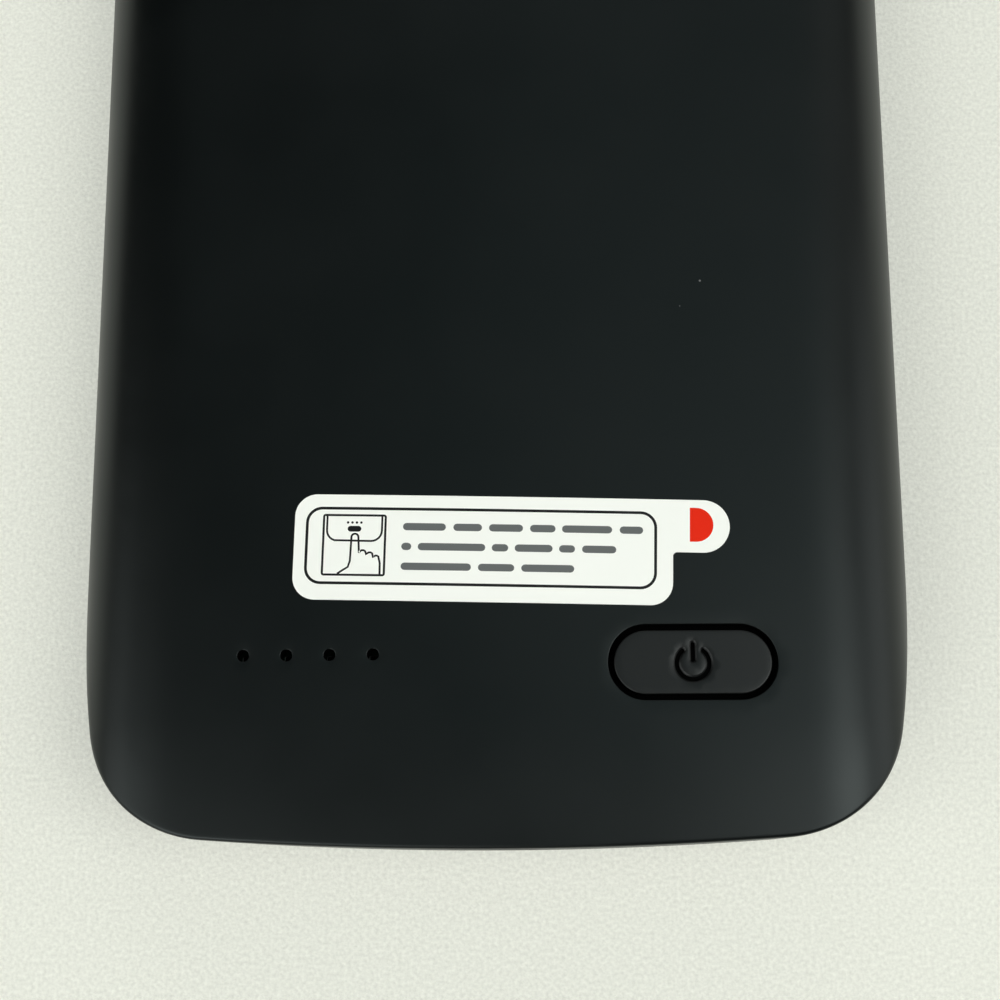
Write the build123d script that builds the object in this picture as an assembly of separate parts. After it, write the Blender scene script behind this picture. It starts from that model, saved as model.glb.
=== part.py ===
from build123d import *
import os
from math import asin, atan2, cos, degrees, radians, sin, sqrt, tan

# Phone battery charging case, lying face down as it is laid on a table.
# Millimetres. X runs across the case, +Y towards the camera end, +Z up out of the back.
# The origin is under the middle of the case, on the plane that the front lip rests on.

# The phone that the case is made for
PHONE_LENGTH = 150.9
PHONE_WIDTH = 75.7
PHONE_THICKNESS = 8.3
PHONE_CORNER_RADIUS = 11.0
PHONE_CLEARANCE = 0.15

# Plan of the case
SIDE_WALL = 2.0
CHIN_LENGTH = 14.0
CORNER_RADIUS = 12.6
EASE_RADIUS = 80.0
EASE_ANGLE = 11.5
BOW_RADIUS = 390.0

# Section of the back
SHELL_WALL = 1.2
CROWN_RADIUS = 700.0
SHOULDER_RADIUS = 9.0
SHOULDER_OVERHANG = 0.3
CHIN_FALL_RADIUS = 90.0
CHIN_FALL_RUN = 12.0
END_BEVEL = 0.5
PARTING_DROP = 1.35
PARTING_BEVEL = 0.2

# Soft bumper
SKIN_THICKNESS = 0.9
LIP_OVERHANG = 1.7
FRONT_BEVEL = 1.2
APERTURE_BEVEL = 0.35
KEY_COVER_HEIGHT = 3.2
KEY_COVER_PROUD = 0.35
KEY_COVER_BEVEL = 0.25
KEY_COVER_CORNER_CUT = 0.8
KEY_RECESS_DEPTH = 0.5
VOLUME_KEY_LENGTH = 11.0
VOLUME_KEY_PITCH = 14.5
VOLUME_KEYS_FROM_TOP = 46.0
SIDE_KEY_LENGTH = 17.0
SIDE_KEY_FROM_TOP = 46.0

# Fits
FIT_GAP = 0.1
SEAT_GAP = 0.05

# Inner tray
TRAY_THICKNESS = 1.0
DOCK_WALL = 1.2
DOCK_COVER = 1.2
CELL_RIB_HEIGHT = 2.0
CELL_RIB_WIDTH = 1.0
CELL_RIB_GAP = 0.4
CELL_RIB_SETBACK = 6.0
CELL_STOP_GAP = 0.3
DOCK_HORN = 7.0
SOUND_SLOT_LENGTH = 5.0
SOUND_SLOT_WIDTH = 1.1
SOUND_SLOT_PITCH = 2.4
SOUND_SLOT_COUNT = 5
SOUND_GROUP_X = 20.0
SOUND_DUCT_WIDTH = 13.0
SOUND_DUCT_HEIGHT = 2.8

# Camera window
WINDOW_WIDTH = 33.0
WINDOW_LENGTH = 37.0
WINDOW_CORNER_RADIUS = 8.0
WINDOW_TAPER = 20.0
WINDOW_COLLAR = 1.2
WINDOW_FROM_SIDE = 8.5
WINDOW_FROM_TOP = 7.5
WINDOW_BEVEL = 0.4

# Battery cell
CELL_WIDTH = 60.0
CELL_THICKNESS = 4.3
CELL_EDGE_RADIUS = 1.3
CELL_HEADROOM = 0.35
CELL_FROM_END = 31.0
TAPE_THICKNESS = 0.15
TAPE_WIDTH = 9.0
TERRACE_LENGTH = 4.2
TERRACE_THICKNESS = 0.4
TERRACE_LIFT = 0.6
GUARD_BOARD_WIDTH = 48.0
GUARD_BOARD_LENGTH = 3.2
GUARD_BOARD_THICKNESS = 0.8
TAB_WIDTH = 4.0
TAB_THICKNESS = 0.15
TAB_SPACING = 16.0
LEAD_DIAMETER = 1.0
LEAD_X = 13.0
LEAD_SPACING = 5.0
LEAD_REACH = 2.5

# Main board
BOARD_WIDTH = 62.0
BOARD_FROM_END = 25.0
BOARD_THICKNESS = 1.0
BOARD_STANDOFF = 0.55
BOARD_EDGE_GAP = 0.5
SHEET_THICKNESS = 0.2
SCREW_X = 27.0
SCREW_FROM_END = 7.0
SCREW_SHAFT_DIAMETER = 1.2
SCREW_LENGTH = 3.4
SCREW_HEAD_DIAMETER = 2.8
SCREW_HEAD_HEIGHT = 0.8
BOSS_SIZE = 4.2

# Power button and its switch
BUTTON_X = 18.6
BUTTON_FROM_END = 16.85
BUTTON_LENGTH = 14.6
BUTTON_WIDTH = 5.9
BUTTON_GAP = 0.55
BUTTON_SINK = 0.05
BUTTON_BEVEL = 0.25
BUTTON_FLANGE = 0.8
BUTTON_FLANGE_THICKNESS = 0.8
BUTTON_STEM_SIZE = 3.2
OPENING_BEVEL = 0.2
SWITCH_SIZE = 5.2
SWITCH_BODY_HEIGHT = 1.5
SWITCH_PLUNGER_DIAMETER = 2.5
SWITCH_PLUNGER_PROUD = 0.4
SWITCH_PLUNGER_LENGTH = 1.1
SWITCH_BORE_DEPTH = 1.2

# Status lights
LIGHT_COUNT = 4
LIGHT_PITCH = 4.05
LIGHT_ROW_X = -17.1
LIGHT_FROM_END = 17.75
LIGHT_HOLE_DIAMETER = 1.1
LIGHT_CHIP_LENGTH = 1.6
LIGHT_CHIP_WIDTH = 0.8
LIGHT_CHIP_HEIGHT = 0.6
GASKET_POCKET_LENGTH = 2.6
GASKET_POCKET_WIDTH = 2.0
GASKET_MARGIN = 2.2
GASKET_WIDTH = 4.4

# Charging socket, in the end wall
SOCKET_WIDTH = 8.94
SOCKET_HEIGHT = 3.26
SOCKET_LENGTH = 7.4
SOCKET_WALL = 0.3
SOCKET_RECESS = 0.4
SOCKET_TONGUE_WIDTH = 6.7
SOCKET_TONGUE_THICKNESS = 0.7
SOCKET_TONGUE_SETBACK = 0.7
SOCKET_BLOCK_LENGTH = 2.2
SOCKET_BLOCK_CUT = 0.9
SOCKET_LEG_WIDTH = 1.0
SOCKET_LEG_LENGTH = 1.6
SOCKET_LEG_SETBACK = 2.6
SOCKET_LEG_PITCH = 3.0
CONTACT_COUNT = 12
CONTACT_PITCH = 0.5
CONTACT_WIDTH = 0.25
CONTACT_LENGTH = 3.0
CONTACT_THICKNESS = 0.06

# Plug that feeds the phone, standing in the dock wall
PLUG_WIDTH = 8.25
PLUG_HEIGHT = 2.4
PLUG_WALL = 0.3
PLUG_REACH = 6.65
PLUG_SLOT_WIDTH = 6.7
PLUG_SLOT_HEIGHT = 0.8
PLUG_SLOT_DEPTH = 5.6
PLUG_BASE_WIDTH = 12.0
PLUG_BASE_HEIGHT = 5.0
PLUG_BASE_LENGTH = 5.0
PLUG_BOARD_WIDTH = 16.0
PLUG_BOARD_LENGTH = 4.4
PLUG_BOARD_THICKNESS = 0.8
PLUG_RIB_WIDTH = 1.2
PLUG_RIB_X = 6.0
PLUG_TAIL = 3.0
RIBBON_WIDTH = 3.6
RIBBON_THICKNESS = 0.2
RIBBON_BEND_RADIUS = 1.0
RIBBON_FOOT = 3.0

# Parts on the main board; a chip has its x, its distance from the end, its length, width and height
COIL_SIZE = 6.2
COIL_HEIGHT = 2.6
COIL_CORNER_CUT = 1.0
COIL_X = 0.0
COIL_FROM_END = 20.2
CHIPS = {
    "charger": (-4.0, 12.2, 4.0, 4.0, 0.9),
    "booster": (4.0, 12.2, 5.0, 4.0, 1.0),
    "controller": (-15.0, 10.6, 5.0, 4.0, 1.4),
}
CAPACITOR_COUNT = 5
CAPACITOR_PITCH = 3.4
CAPACITOR_LENGTH = 2.0
CAPACITOR_WIDTH = 1.25
CAPACITOR_HEIGHT = 1.2
CAPACITOR_ROW_X = -16.0
CAPACITOR_FROM_END = 22.6

# Peel-off sticker on the back
STICKER_X = -0.8
STICKER_FROM_END = 27.55
STICKER_TURN = -1.5
STICKER_WIDTH = 35.6
STICKER_HEIGHT = 10.05
STICKER_CORNER_RADIUS = 2.1
STICKER_TAB_REACH = 5.3
STICKER_TAB_HEIGHT = 5.0
STICKER_NOTCH_RADIUS = 0.4
STICKER_THICKNESS = 0.1

# Plan levels worked out from the sizes above
HALF_WIDTH = PHONE_WIDTH / 2 + PHONE_CLEARANCE + SIDE_WALL
CASE_LENGTH = CHIN_LENGTH + PHONE_LENGTH + 2 * PHONE_CLEARANCE + SIDE_WALL
TOP_Y = CASE_LENGTH / 2
END_Y = -CASE_LENGTH / 2
DOCK_Y = END_Y + CHIN_LENGTH
POCKET_RADIUS = PHONE_CORNER_RADIUS + PHONE_CLEARANCE

# Heights worked out from the sizes above
BED_Z = SKIN_THICKNESS + PHONE_THICKNESS + PHONE_CLEARANCE
TRAY_TOP_Z = BED_Z + TRAY_THICKNESS
PART_Z = BED_Z - PARTING_DROP
CELL_Z = TRAY_TOP_Z + TAPE_THICKNESS
CEILING_Z = CELL_Z + CELL_THICKNESS + CELL_HEADROOM
CROWN_DROP = CROWN_RADIUS - sqrt(CROWN_RADIUS**2 - (CELL_WIDTH / 2) ** 2)
BACK_Z = CEILING_Z + CROWN_DROP + SHELL_WALL
BOARD_Z = TRAY_TOP_Z + BOARD_STANDOFF
BOARD_TOP_Z = BOARD_Z + BOARD_THICKNESS
SOCKET_Z = BOARD_Z + BOARD_THICKNESS / 2
PLUG_Z = SKIN_THICKNESS + (PHONE_THICKNESS + PHONE_CLEARANCE) / 2
DOCK_FLOOR_Z = SKIN_THICKNESS + DOCK_COVER
PLUNGER_TOP_Z = BOARD_TOP_Z + SWITCH_BODY_HEIGHT + SWITCH_PLUNGER_PROUD
FLANGE_TOP_Z = CEILING_Z - SEAT_GAP
FLANGE_Z = FLANGE_TOP_Z - BUTTON_FLANGE_THICKNESS
TERRACE_TOP_Z = CELL_Z + TERRACE_LIFT + TERRACE_THICKNESS
GUARD_TOP_Z = TERRACE_TOP_Z + GUARD_BOARD_THICKNESS

# The cell takes up the length that the camera window leaves it
WINDOW_FLARE = (BACK_Z - TRAY_TOP_Z) * tan(radians(WINDOW_TAPER))
COLLAR_Y = TOP_Y - WINDOW_FROM_TOP - WINDOW_LENGTH - WINDOW_FLARE - WINDOW_COLLAR
CELL_TOP_Y = COLLAR_Y - CELL_STOP_GAP - CELL_RIB_WIDTH - CELL_RIB_GAP
CELL_LENGTH = CELL_TOP_Y - END_Y - CELL_FROM_END

# Centres of the arcs of the back's section
CROWN_Z = BACK_Z - CROWN_RADIUS
SHOULDER_X = HALF_WIDTH + SHOULDER_OVERHANG - SHOULDER_RADIUS
SHOULDER_Z = CROWN_Z + sqrt((CROWN_RADIUS - SHOULDER_RADIUS) ** 2 - SHOULDER_X**2)

# Room past a face, so that a cut goes right through it, and a length that counts as none
OVERCUT = 1.0
NEARLY_ZERO = 0.001

# The slope under which an edge counts as level
LEVEL_SLOPE = 0.5


def prism(face, low, high):
    """A plan face raised between two heights."""
    return extrude(Pos(0, 0, low) * face, amount=high - low, dir=(0, 0, 1))


def box_on(x, y, low, length, width, height):
    """A box centred over a point of the plan, standing on a height."""
    return prism(Pos(x, y) * Rectangle(length, width), low, low + height)


def post_on(x, y, low, diameter, height):
    """A round post centred over a point of the plan, standing on a height."""
    return prism(Pos(x, y) * Circle(diameter / 2), low, low + height)


def end_slot(width, height, z, low_y, high_y):
    """A bar with round sides that runs along Y, at a height, between two stations."""
    face = Plane.XZ * (Pos(0, z) * SlotOverall(width, height))
    return extrude(Pos(0, low_y, 0) * face, amount=high_y - low_y, dir=(0, 1, 0))


def from_end(distance):
    """Station along Y, measured from the middle of the chin's end."""
    return END_Y + distance


def plan_face(inset):
    """Plan of the case, drawn in from the outer wall by an inset."""
    bow_centre = (0, END_Y + BOW_RADIUS)
    corner_x = HALF_WIDTH - EASE_RADIUS + (EASE_RADIUS - CORNER_RADIUS) * cos(radians(EASE_ANGLE))
    corner_y = bow_centre[1] - sqrt((BOW_RADIUS - CORNER_RADIUS) ** 2 - corner_x**2)
    ease_y = corner_y + (EASE_RADIUS - CORNER_RADIUS) * sin(radians(EASE_ANGLE))
    bow_angle = degrees(atan2(corner_y - bow_centre[1], corner_x))
    top_radius = POCKET_RADIUS + SIDE_WALL
    top_x, top_y = HALF_WIDTH - top_radius, TOP_Y - top_radius
    right = [
        CenterArc((corner_x, corner_y), CORNER_RADIUS - inset, bow_angle, -EASE_ANGLE - bow_angle),
        CenterArc((HALF_WIDTH - EASE_RADIUS, ease_y), EASE_RADIUS - inset, -EASE_ANGLE, EASE_ANGLE),
        Line((HALF_WIDTH - inset, ease_y), (HALF_WIDTH - inset, top_y)),
        CenterArc((top_x, top_y), top_radius - inset, 0, 90),
    ]
    left = [mirror(edge, about=Plane.YZ) for edge in right]
    bow = CenterArc(bow_centre, BOW_RADIUS - inset, -180 - bow_angle, 180 + 2 * bow_angle)
    top = Line((top_x, TOP_Y - inset), (-top_x, TOP_Y - inset))
    return make_face([bow, *right, top, *left])


def pocket_face(grow):
    """Plan of the phone pocket, grown outwards."""
    width = PHONE_WIDTH + 2 * PHONE_CLEARANCE + 2 * grow
    length = PHONE_LENGTH + 2 * PHONE_CLEARANCE + 2 * grow
    middle_y = DOCK_Y + PHONE_CLEARANCE + PHONE_LENGTH / 2
    return Pos(0, middle_y) * RectangleRounded(width, length, POCKET_RADIUS + grow)


def section_face(inset):
    """Section across the back: a crown arc between two shoulder arcs, over straight sides."""
    tilt = degrees(atan2(SHOULDER_Z - CROWN_Z, SHOULDER_X))
    half = SHOULDER_X + SHOULDER_RADIUS - inset
    crown = CenterArc((0, CROWN_Z), CROWN_RADIUS - inset, tilt, 180 - 2 * tilt)
    right = CenterArc((SHOULDER_X, SHOULDER_Z), SHOULDER_RADIUS - inset, 0, tilt)
    left = mirror(right, about=Plane.YZ)
    low = PART_Z - OVERCUT
    sides = Polyline((half, SHOULDER_Z), (half, low), (-half, low), (-half, SHOULDER_Z))
    return Plane.XZ * make_face([crown, right, left, sides])


def back_form(inset):
    """Form of the back before it is cut to the plan: straight, but falling away over the chin."""
    face = section_face(inset)
    fall_y = END_Y + CHIN_FALL_RUN
    low_radius = CHIN_FALL_RADIUS - BACK_Z + PART_Z
    turn = degrees(asin((CHIN_FALL_RUN + OVERCUT) / low_radius))
    axis = Axis((0, fall_y, BACK_Z - CHIN_FALL_RADIUS), (1, 0, 0))
    straight = extrude(Pos(0, fall_y, 0) * face, amount=CASE_LENGTH, dir=(0, 1, 0))
    return straight + revolve(Pos(0, fall_y, 0) * face, axis, turn)


def back_room():
    """Room inside the back: a flat ceiling, with shoulders that keep to the outer ones."""
    width = 2 * (HALF_WIDTH + SHOULDER_OVERHANG - SHELL_WALL)
    low = PART_Z - OVERCUT
    room = box_on(0, 0, low, width, CASE_LENGTH, CEILING_Z - low)
    shoulders = room.edges().filter_by(Axis.Y).group_by(Axis.Z)[-1]
    return fillet(shoulders, SHOULDER_RADIUS - SHELL_WALL) & prism(plan_face(SHELL_WALL), low, BACK_Z)


def shoulder_inset(z):
    """How far in from the case's side a piece stays clear of the shell's shoulders at a height."""
    room_radius = SHOULDER_RADIUS - SHELL_WALL
    rise = max(0, z - CEILING_Z + room_radius)
    reach = SHOULDER_X + sqrt(room_radius**2 - rise**2)
    return max(SHELL_WALL, HALF_WIDTH - reach) + FIT_GAP


def button_face(grow):
    """Plan of the power button, grown outwards."""
    face = SlotOverall(BUTTON_LENGTH + 2 * grow, BUTTON_WIDTH + 2 * grow)
    return Pos(BUTTON_X, from_end(BUTTON_FROM_END)) * face


def light_places():
    """Where the status lights stand."""
    first = LIGHT_ROW_X - LIGHT_PITCH * (LIGHT_COUNT - 1) / 2
    return [(first + LIGHT_PITCH * n, from_end(LIGHT_FROM_END)) for n in range(LIGHT_COUNT)]


def screw_places():
    """Where the main board is screwed to the back."""
    return [(side * SCREW_X, from_end(SCREW_FROM_END)) for side in (-1, 1)]


def window_face(grow):
    """Plan of the camera window where it leaves the tray, grown outwards."""
    x = -HALF_WIDTH + WINDOW_FROM_SIDE + WINDOW_WIDTH / 2
    y = TOP_Y - WINDOW_FROM_TOP - WINDOW_LENGTH / 2
    radius = WINDOW_CORNER_RADIUS + grow
    return Pos(x, y) * RectangleRounded(WINDOW_WIDTH + 2 * grow, WINDOW_LENGTH + 2 * grow, radius)


def window_cone():
    """The flared camera window, from the tray up through the back."""
    height = BACK_Z + OVERCUT - TRAY_TOP_Z
    return extrude(Pos(0, 0, TRAY_TOP_Z) * window_face(0), amount=height, taper=-WINDOW_TAPER)


def sound_places():
    """Where the sound slots stand, on both sides of the plug."""
    reach = SOUND_SLOT_PITCH * (SOUND_SLOT_COUNT - 1) / 2
    steps = [SOUND_SLOT_PITCH * n - reach for n in range(SOUND_SLOT_COUNT)]
    middle = (from_end(SIDE_WALL) + DOCK_Y - DOCK_WALL) / 2
    return [(side * SOUND_GROUP_X + step, middle) for side in (-1, 1) for step in steps]


def sound_slots(low, high):
    """The sound slots of the chin, as bars between two heights."""
    size = SOUND_SLOT_WIDTH, SOUND_SLOT_LENGTH, high - low
    return [box_on(x, y, low, *size) for x, y in sound_places()]


def key_covers():
    """Station, length and side of each key cover of the bumper."""
    volume_y = TOP_Y - VOLUME_KEYS_FROM_TOP
    return [
        (volume_y + VOLUME_KEY_PITCH / 2, VOLUME_KEY_LENGTH, 1),
        (volume_y - VOLUME_KEY_PITCH / 2, VOLUME_KEY_LENGTH, 1),
        (TOP_Y - SIDE_KEY_FROM_TOP, SIDE_KEY_LENGTH, -1),
    ]


def key_bar(y, length, ends):
    """A bar with cut corners that runs along X between two ends, at the height of the phone's keys."""
    low_x, high_x = sorted(ends)
    face = Pos(y, PLUG_Z) * Rectangle(length, KEY_COVER_HEIGHT)
    face = Plane.YZ * chamfer(face.vertices(), KEY_COVER_CORNER_CUT)
    return extrude(Pos(low_x, 0, 0) * face, amount=high_x - low_x, dir=(1, 0, 0))


def cell_middle_y():
    """Station of the middle of the cell."""
    return from_end(CELL_FROM_END) + CELL_LENGTH / 2


def plug_stations():
    """Stations of the plug's tip, its tail, and the front and rear of its base."""
    front = DOCK_Y - DOCK_WALL - SEAT_GAP
    return DOCK_Y + PLUG_REACH, front - PLUG_TAIL, front, front - PLUG_BASE_LENGTH


def sticker_face():
    """Outline of the sticker: a rounded label with a pull tab at its upper right."""
    label = RectangleRounded(STICKER_WIDTH, STICKER_HEIGHT, STICKER_CORNER_RADIUS)
    tab_length = STICKER_WIDTH / 2 + STICKER_TAB_REACH
    tab_y = (STICKER_HEIGHT - STICKER_TAB_HEIGHT) / 2
    face = label + Pos(tab_length / 2, tab_y) * SlotOverall(tab_length, STICKER_TAB_HEIGHT)
    notch = (STICKER_WIDTH / 2, STICKER_HEIGHT / 2 - STICKER_TAB_HEIGHT, 0)
    face = fillet(face.vertices().sort_by_distance(notch)[0], STICKER_NOTCH_RADIUS)
    return Pos(STICKER_X, from_end(STICKER_FROM_END)) * Rot(0, 0, STICKER_TURN) * face


def rim_edges(block):
    """Edges where the upright plan wall of the back block meets its crown."""
    found = []
    for wall in block.faces().filter_by(lambda face: abs(face.normal_at().Z) < NEARLY_ZERO):
        for edge in wall.edges():
            level = abs(edge.tangent_at().Z) < LEVEL_SLOPE
            if level and edge.center().Z > PART_Z + OVERCUT and edge not in found:
                found.append(edge)
    return found


def edges_over(shape, face):
    """Edges of a shape whose middles lie over a plan face."""
    box = face.bounding_box()
    across = shape.edges().filter_by_position(Axis.X, box.min.X, box.max.X)
    return across.filter_by_position(Axis.Y, box.min.Y, box.max.Y)


def skin_edges(shell, face):
    """Edges of the back's outer skin that lie over a plan face."""
    above = edges_over(shell, face).filter_by_position(Axis.Z, CEILING_Z + NEARLY_ZERO, BACK_Z)
    return above.filter_by(Axis.Z, reverse=True)


def make_back_shell():
    """Hard outer back: a crowned shell with the window, the button opening and the socket's slot."""
    block = back_form(0) & prism(plan_face(0), PART_Z, BACK_Z + OVERCUT)
    block = chamfer(rim_edges(block), END_BEVEL)
    block = chamfer(block.edges().filter_by_position(Axis.Z, PART_Z, PART_Z), PARTING_BEVEL)
    shell = block - back_room()
    shell += prism(window_face(WINDOW_FLARE + WINDOW_COLLAR), TRAY_TOP_Z, CEILING_Z)
    shell -= window_cone()
    shell = chamfer(skin_edges(shell, window_face(WINDOW_FLARE)), WINDOW_BEVEL)
    for x, y in screw_places():
        shell += box_on(x, y, BOARD_TOP_Z, BOSS_SIZE, BOSS_SIZE, CEILING_Z - BOARD_TOP_Z)
        pilot = SCREW_SHAFT_DIAMETER + 2 * SEAT_GAP
        shell -= post_on(x, y, BOARD_TOP_Z, pilot, SCREW_LENGTH - BOARD_THICKNESS + SEAT_GAP)
    shell -= prism(button_face(BUTTON_GAP), BOARD_TOP_Z, BACK_Z + OVERCUT)
    shell = chamfer(skin_edges(shell, button_face(BUTTON_GAP + NEARLY_ZERO)), OPENING_BEVEL)
    for x, y in light_places():
        shell -= post_on(x, y, BOARD_TOP_Z, LIGHT_HOLE_DIAMETER, BACK_Z)
    mouth = SOCKET_WIDTH + 2 * FIT_GAP, SOCKET_HEIGHT + 2 * FIT_GAP
    shell -= end_slot(*mouth, SOCKET_Z, END_Y - OVERCUT, from_end(SHELL_WALL + OVERCUT))
    return shell


def make_inner_tray():
    """Inner tray: the phone's bed, stepping down into the dock wall and the chin's cover."""
    bed = prism(plan_face(shoulder_inset(TRAY_TOP_Z)), BED_Z, TRAY_TOP_Z)
    chin_y = DOCK_Y - DOCK_WALL
    bed -= box_on(0, chin_y - CHIN_LENGTH, BED_Z - OVERCUT, 4 * HALF_WIDTH, 2 * CHIN_LENGTH, BACK_Z)
    bed -= prism(window_face(0), BED_Z - OVERCUT, TRAY_TOP_Z + OVERCUT)
    dock = prism(pocket_face(DOCK_WALL), SKIN_THICKNESS, BED_Z)
    dock += prism(plan_face(SIDE_WALL + FIT_GAP), SKIN_THICKNESS, DOCK_FLOOR_Z)
    dock -= prism(pocket_face(0), 0, BED_Z + OVERCUT)
    dock &= prism(plan_face(SIDE_WALL + FIT_GAP), 0, BED_Z)
    horn_y = DOCK_Y + DOCK_HORN
    dock -= box_on(0, horn_y + CASE_LENGTH / 2, -OVERCUT, 4 * HALF_WIDTH, CASE_LENGTH, BACK_Z)
    tray = bed + dock
    rib_x = CELL_WIDTH / 2 + CELL_RIB_GAP + CELL_RIB_WIDTH / 2
    rib_length = CELL_LENGTH - 2 * CELL_RIB_SETBACK
    for x in (-rib_x, rib_x):
        tray += box_on(x, cell_middle_y(), TRAY_TOP_Z, CELL_RIB_WIDTH, rib_length, CELL_RIB_HEIGHT)
    stop_y = CELL_TOP_Y + CELL_RIB_GAP + CELL_RIB_WIDTH / 2
    stop_length = CELL_WIDTH - 2 * CELL_RIB_SETBACK
    tray += box_on(0, stop_y, TRAY_TOP_Z, stop_length, CELL_RIB_WIDTH, CELL_RIB_HEIGHT)
    tip, tail, front, rear = plug_stations()
    board_low_z = PLUG_Z - PLUG_BOARD_THICKNESS / 2
    rest = PLUG_RIB_WIDTH, PLUG_BOARD_LENGTH, board_low_z - DOCK_FLOOR_Z
    for x in (-PLUG_RIB_X, PLUG_RIB_X):
        tray += box_on(x, rear - PLUG_BOARD_LENGTH / 2, DOCK_FLOOR_Z, *rest)
    hole = PLUG_WIDTH + 2 * FIT_GAP, PLUG_HEIGHT + 2 * FIT_GAP
    tray -= end_slot(*hole, PLUG_Z, front - SEAT_GAP, DOCK_Y + OVERCUT)
    duct_low = PLUG_Z - SOUND_DUCT_HEIGHT / 2
    for x in (-SOUND_GROUP_X, SOUND_GROUP_X):
        tray -= box_on(x, DOCK_Y, duct_low, SOUND_DUCT_WIDTH, 2 * (DOCK_WALL + SEAT_GAP), SOUND_DUCT_HEIGHT)
    for slot in sound_slots(0, DOCK_FLOOR_Z + OVERCUT):
        tray -= slot
    return tray


def make_bumper():
    """Soft bumper: a wall round the case with a front skin, a screen opening and key covers."""
    ring = prism(plan_face(0), 0, PART_Z)
    ring = chamfer(ring.edges().filter_by_position(Axis.Z, 0, 0), FRONT_BEVEL)
    ring = chamfer(ring.edges().filter_by_position(Axis.Z, PART_Z, PART_Z), PARTING_BEVEL)
    for y, length, side in key_covers():
        ends = side * (HALF_WIDTH - SIDE_WALL / 2), side * (HALF_WIDTH + KEY_COVER_PROUD)
        cover = key_bar(y, length, ends)
        outer = cover.faces().sort_by(Axis.X)[-1 if side > 0 else 0]
        ring += chamfer(outer.edges(), KEY_COVER_BEVEL)
    ring += prism(plan_face(shoulder_inset(BED_Z)), PART_Z, BED_Z)
    ring -= prism(plan_face(SIDE_WALL), SKIN_THICKNESS, BED_Z + OVERCUT)
    for y, length, side in key_covers():
        inner_x = HALF_WIDTH - SIDE_WALL
        ring -= key_bar(y, length, (side * (inner_x - OVERCUT), side * (inner_x + KEY_RECESS_DEPTH)))
    ring -= prism(pocket_face(-LIP_OVERHANG), -OVERCUT, SKIN_THICKNESS + OVERCUT)
    lip = edges_over(ring, pocket_face(NEARLY_ZERO - LIP_OVERHANG))
    ring = chamfer(lip.filter_by_position(Axis.Z, 0, 0), APERTURE_BEVEL)
    for slot in sound_slots(-OVERCUT, SKIN_THICKNESS + OVERCUT):
        ring -= slot
    return ring


def make_power_button():
    """Power button: a cap level with the back, a flange under the back and a short stem."""
    y = from_end(BUTTON_FROM_END)
    cap = prism(button_face(0), FLANGE_Z, BACK_Z + OVERCUT) & back_form(BUTTON_SINK)
    cap = chamfer(cap.faces().sort_by(Axis.Z)[-1].edges(), BUTTON_BEVEL)
    spread = 2 * (BUTTON_GAP + BUTTON_FLANGE)
    size = BUTTON_LENGTH + spread, BUTTON_WIDTH + spread, BUTTON_FLANGE_THICKNESS
    cap += box_on(BUTTON_X, y, FLANGE_Z, *size)
    stem = BUTTON_STEM_SIZE, BUTTON_STEM_SIZE, FLANGE_Z - PLUNGER_TOP_Z
    return cap + box_on(BUTTON_X, y, PLUNGER_TOP_Z, *stem)


def make_switch_body():
    """Body of the switch under the button, with a bore for its plunger."""
    y = from_end(BUTTON_FROM_END)
    body = box_on(BUTTON_X, y, BOARD_TOP_Z, SWITCH_SIZE, SWITCH_SIZE, SWITCH_BODY_HEIGHT)
    bore_z = BOARD_TOP_Z + SWITCH_BODY_HEIGHT - SWITCH_BORE_DEPTH
    bore = SWITCH_PLUNGER_DIAMETER + 2 * SEAT_GAP
    return body - post_on(BUTTON_X, y, bore_z, bore, SWITCH_BORE_DEPTH + OVERCUT)


def make_switch_plunger():
    """Plunger of the switch, which the button's stem presses."""
    low = PLUNGER_TOP_Z - SWITCH_PLUNGER_LENGTH
    y = from_end(BUTTON_FROM_END)
    return post_on(BUTTON_X, y, low, SWITCH_PLUNGER_DIAMETER, SWITCH_PLUNGER_LENGTH)


def make_main_board():
    """Main board: follows the chin's end, with a notch for the socket and a screw slot at each side."""
    middle_y = from_end(BOARD_FROM_END / 2)
    board = box_on(0, middle_y, BOARD_Z, BOARD_WIDTH, BOARD_FROM_END, BOARD_THICKNESS)
    board &= prism(plan_face(SHELL_WALL + BOARD_EDGE_GAP), BOARD_Z, BOARD_TOP_Z)
    notch_length = SOCKET_RECESS + SOCKET_LENGTH + FIT_GAP
    notch_width = SOCKET_WIDTH + 2 * FIT_GAP
    notch_y = from_end(notch_length / 2)
    board -= box_on(0, notch_y, BOARD_Z - OVERCUT, notch_width, notch_length, BACK_Z)
    slot_width = SCREW_SHAFT_DIAMETER + 2 * FIT_GAP
    bridge = 2 * SCREW_X - slot_width
    slots = box_on(0, from_end(SCREW_FROM_END), BOARD_Z, BOARD_WIDTH, slot_width, BOARD_THICKNESS)
    return board - (slots - box_on(0, from_end(SCREW_FROM_END), BOARD_Z, bridge, slot_width, BOARD_THICKNESS))


def make_insulating_sheet():
    """Insulating sheet that lies on the tray, under the main board."""
    length = from_end(BOARD_FROM_END) - DOCK_Y
    return box_on(0, DOCK_Y + length / 2, TRAY_TOP_Z, BOARD_WIDTH, length, SHEET_THICKNESS)


def make_board_screws():
    """The two screws that hold the main board to the back."""
    screws = []
    for x, y in screw_places():
        screw = post_on(x, y, BOARD_Z - SCREW_HEAD_HEIGHT, SCREW_HEAD_DIAMETER, SCREW_HEAD_HEIGHT)
        screws.append(screw + post_on(x, y, BOARD_Z, SCREW_SHAFT_DIAMETER, SCREW_LENGTH))
    return Compound(children=screws)


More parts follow.
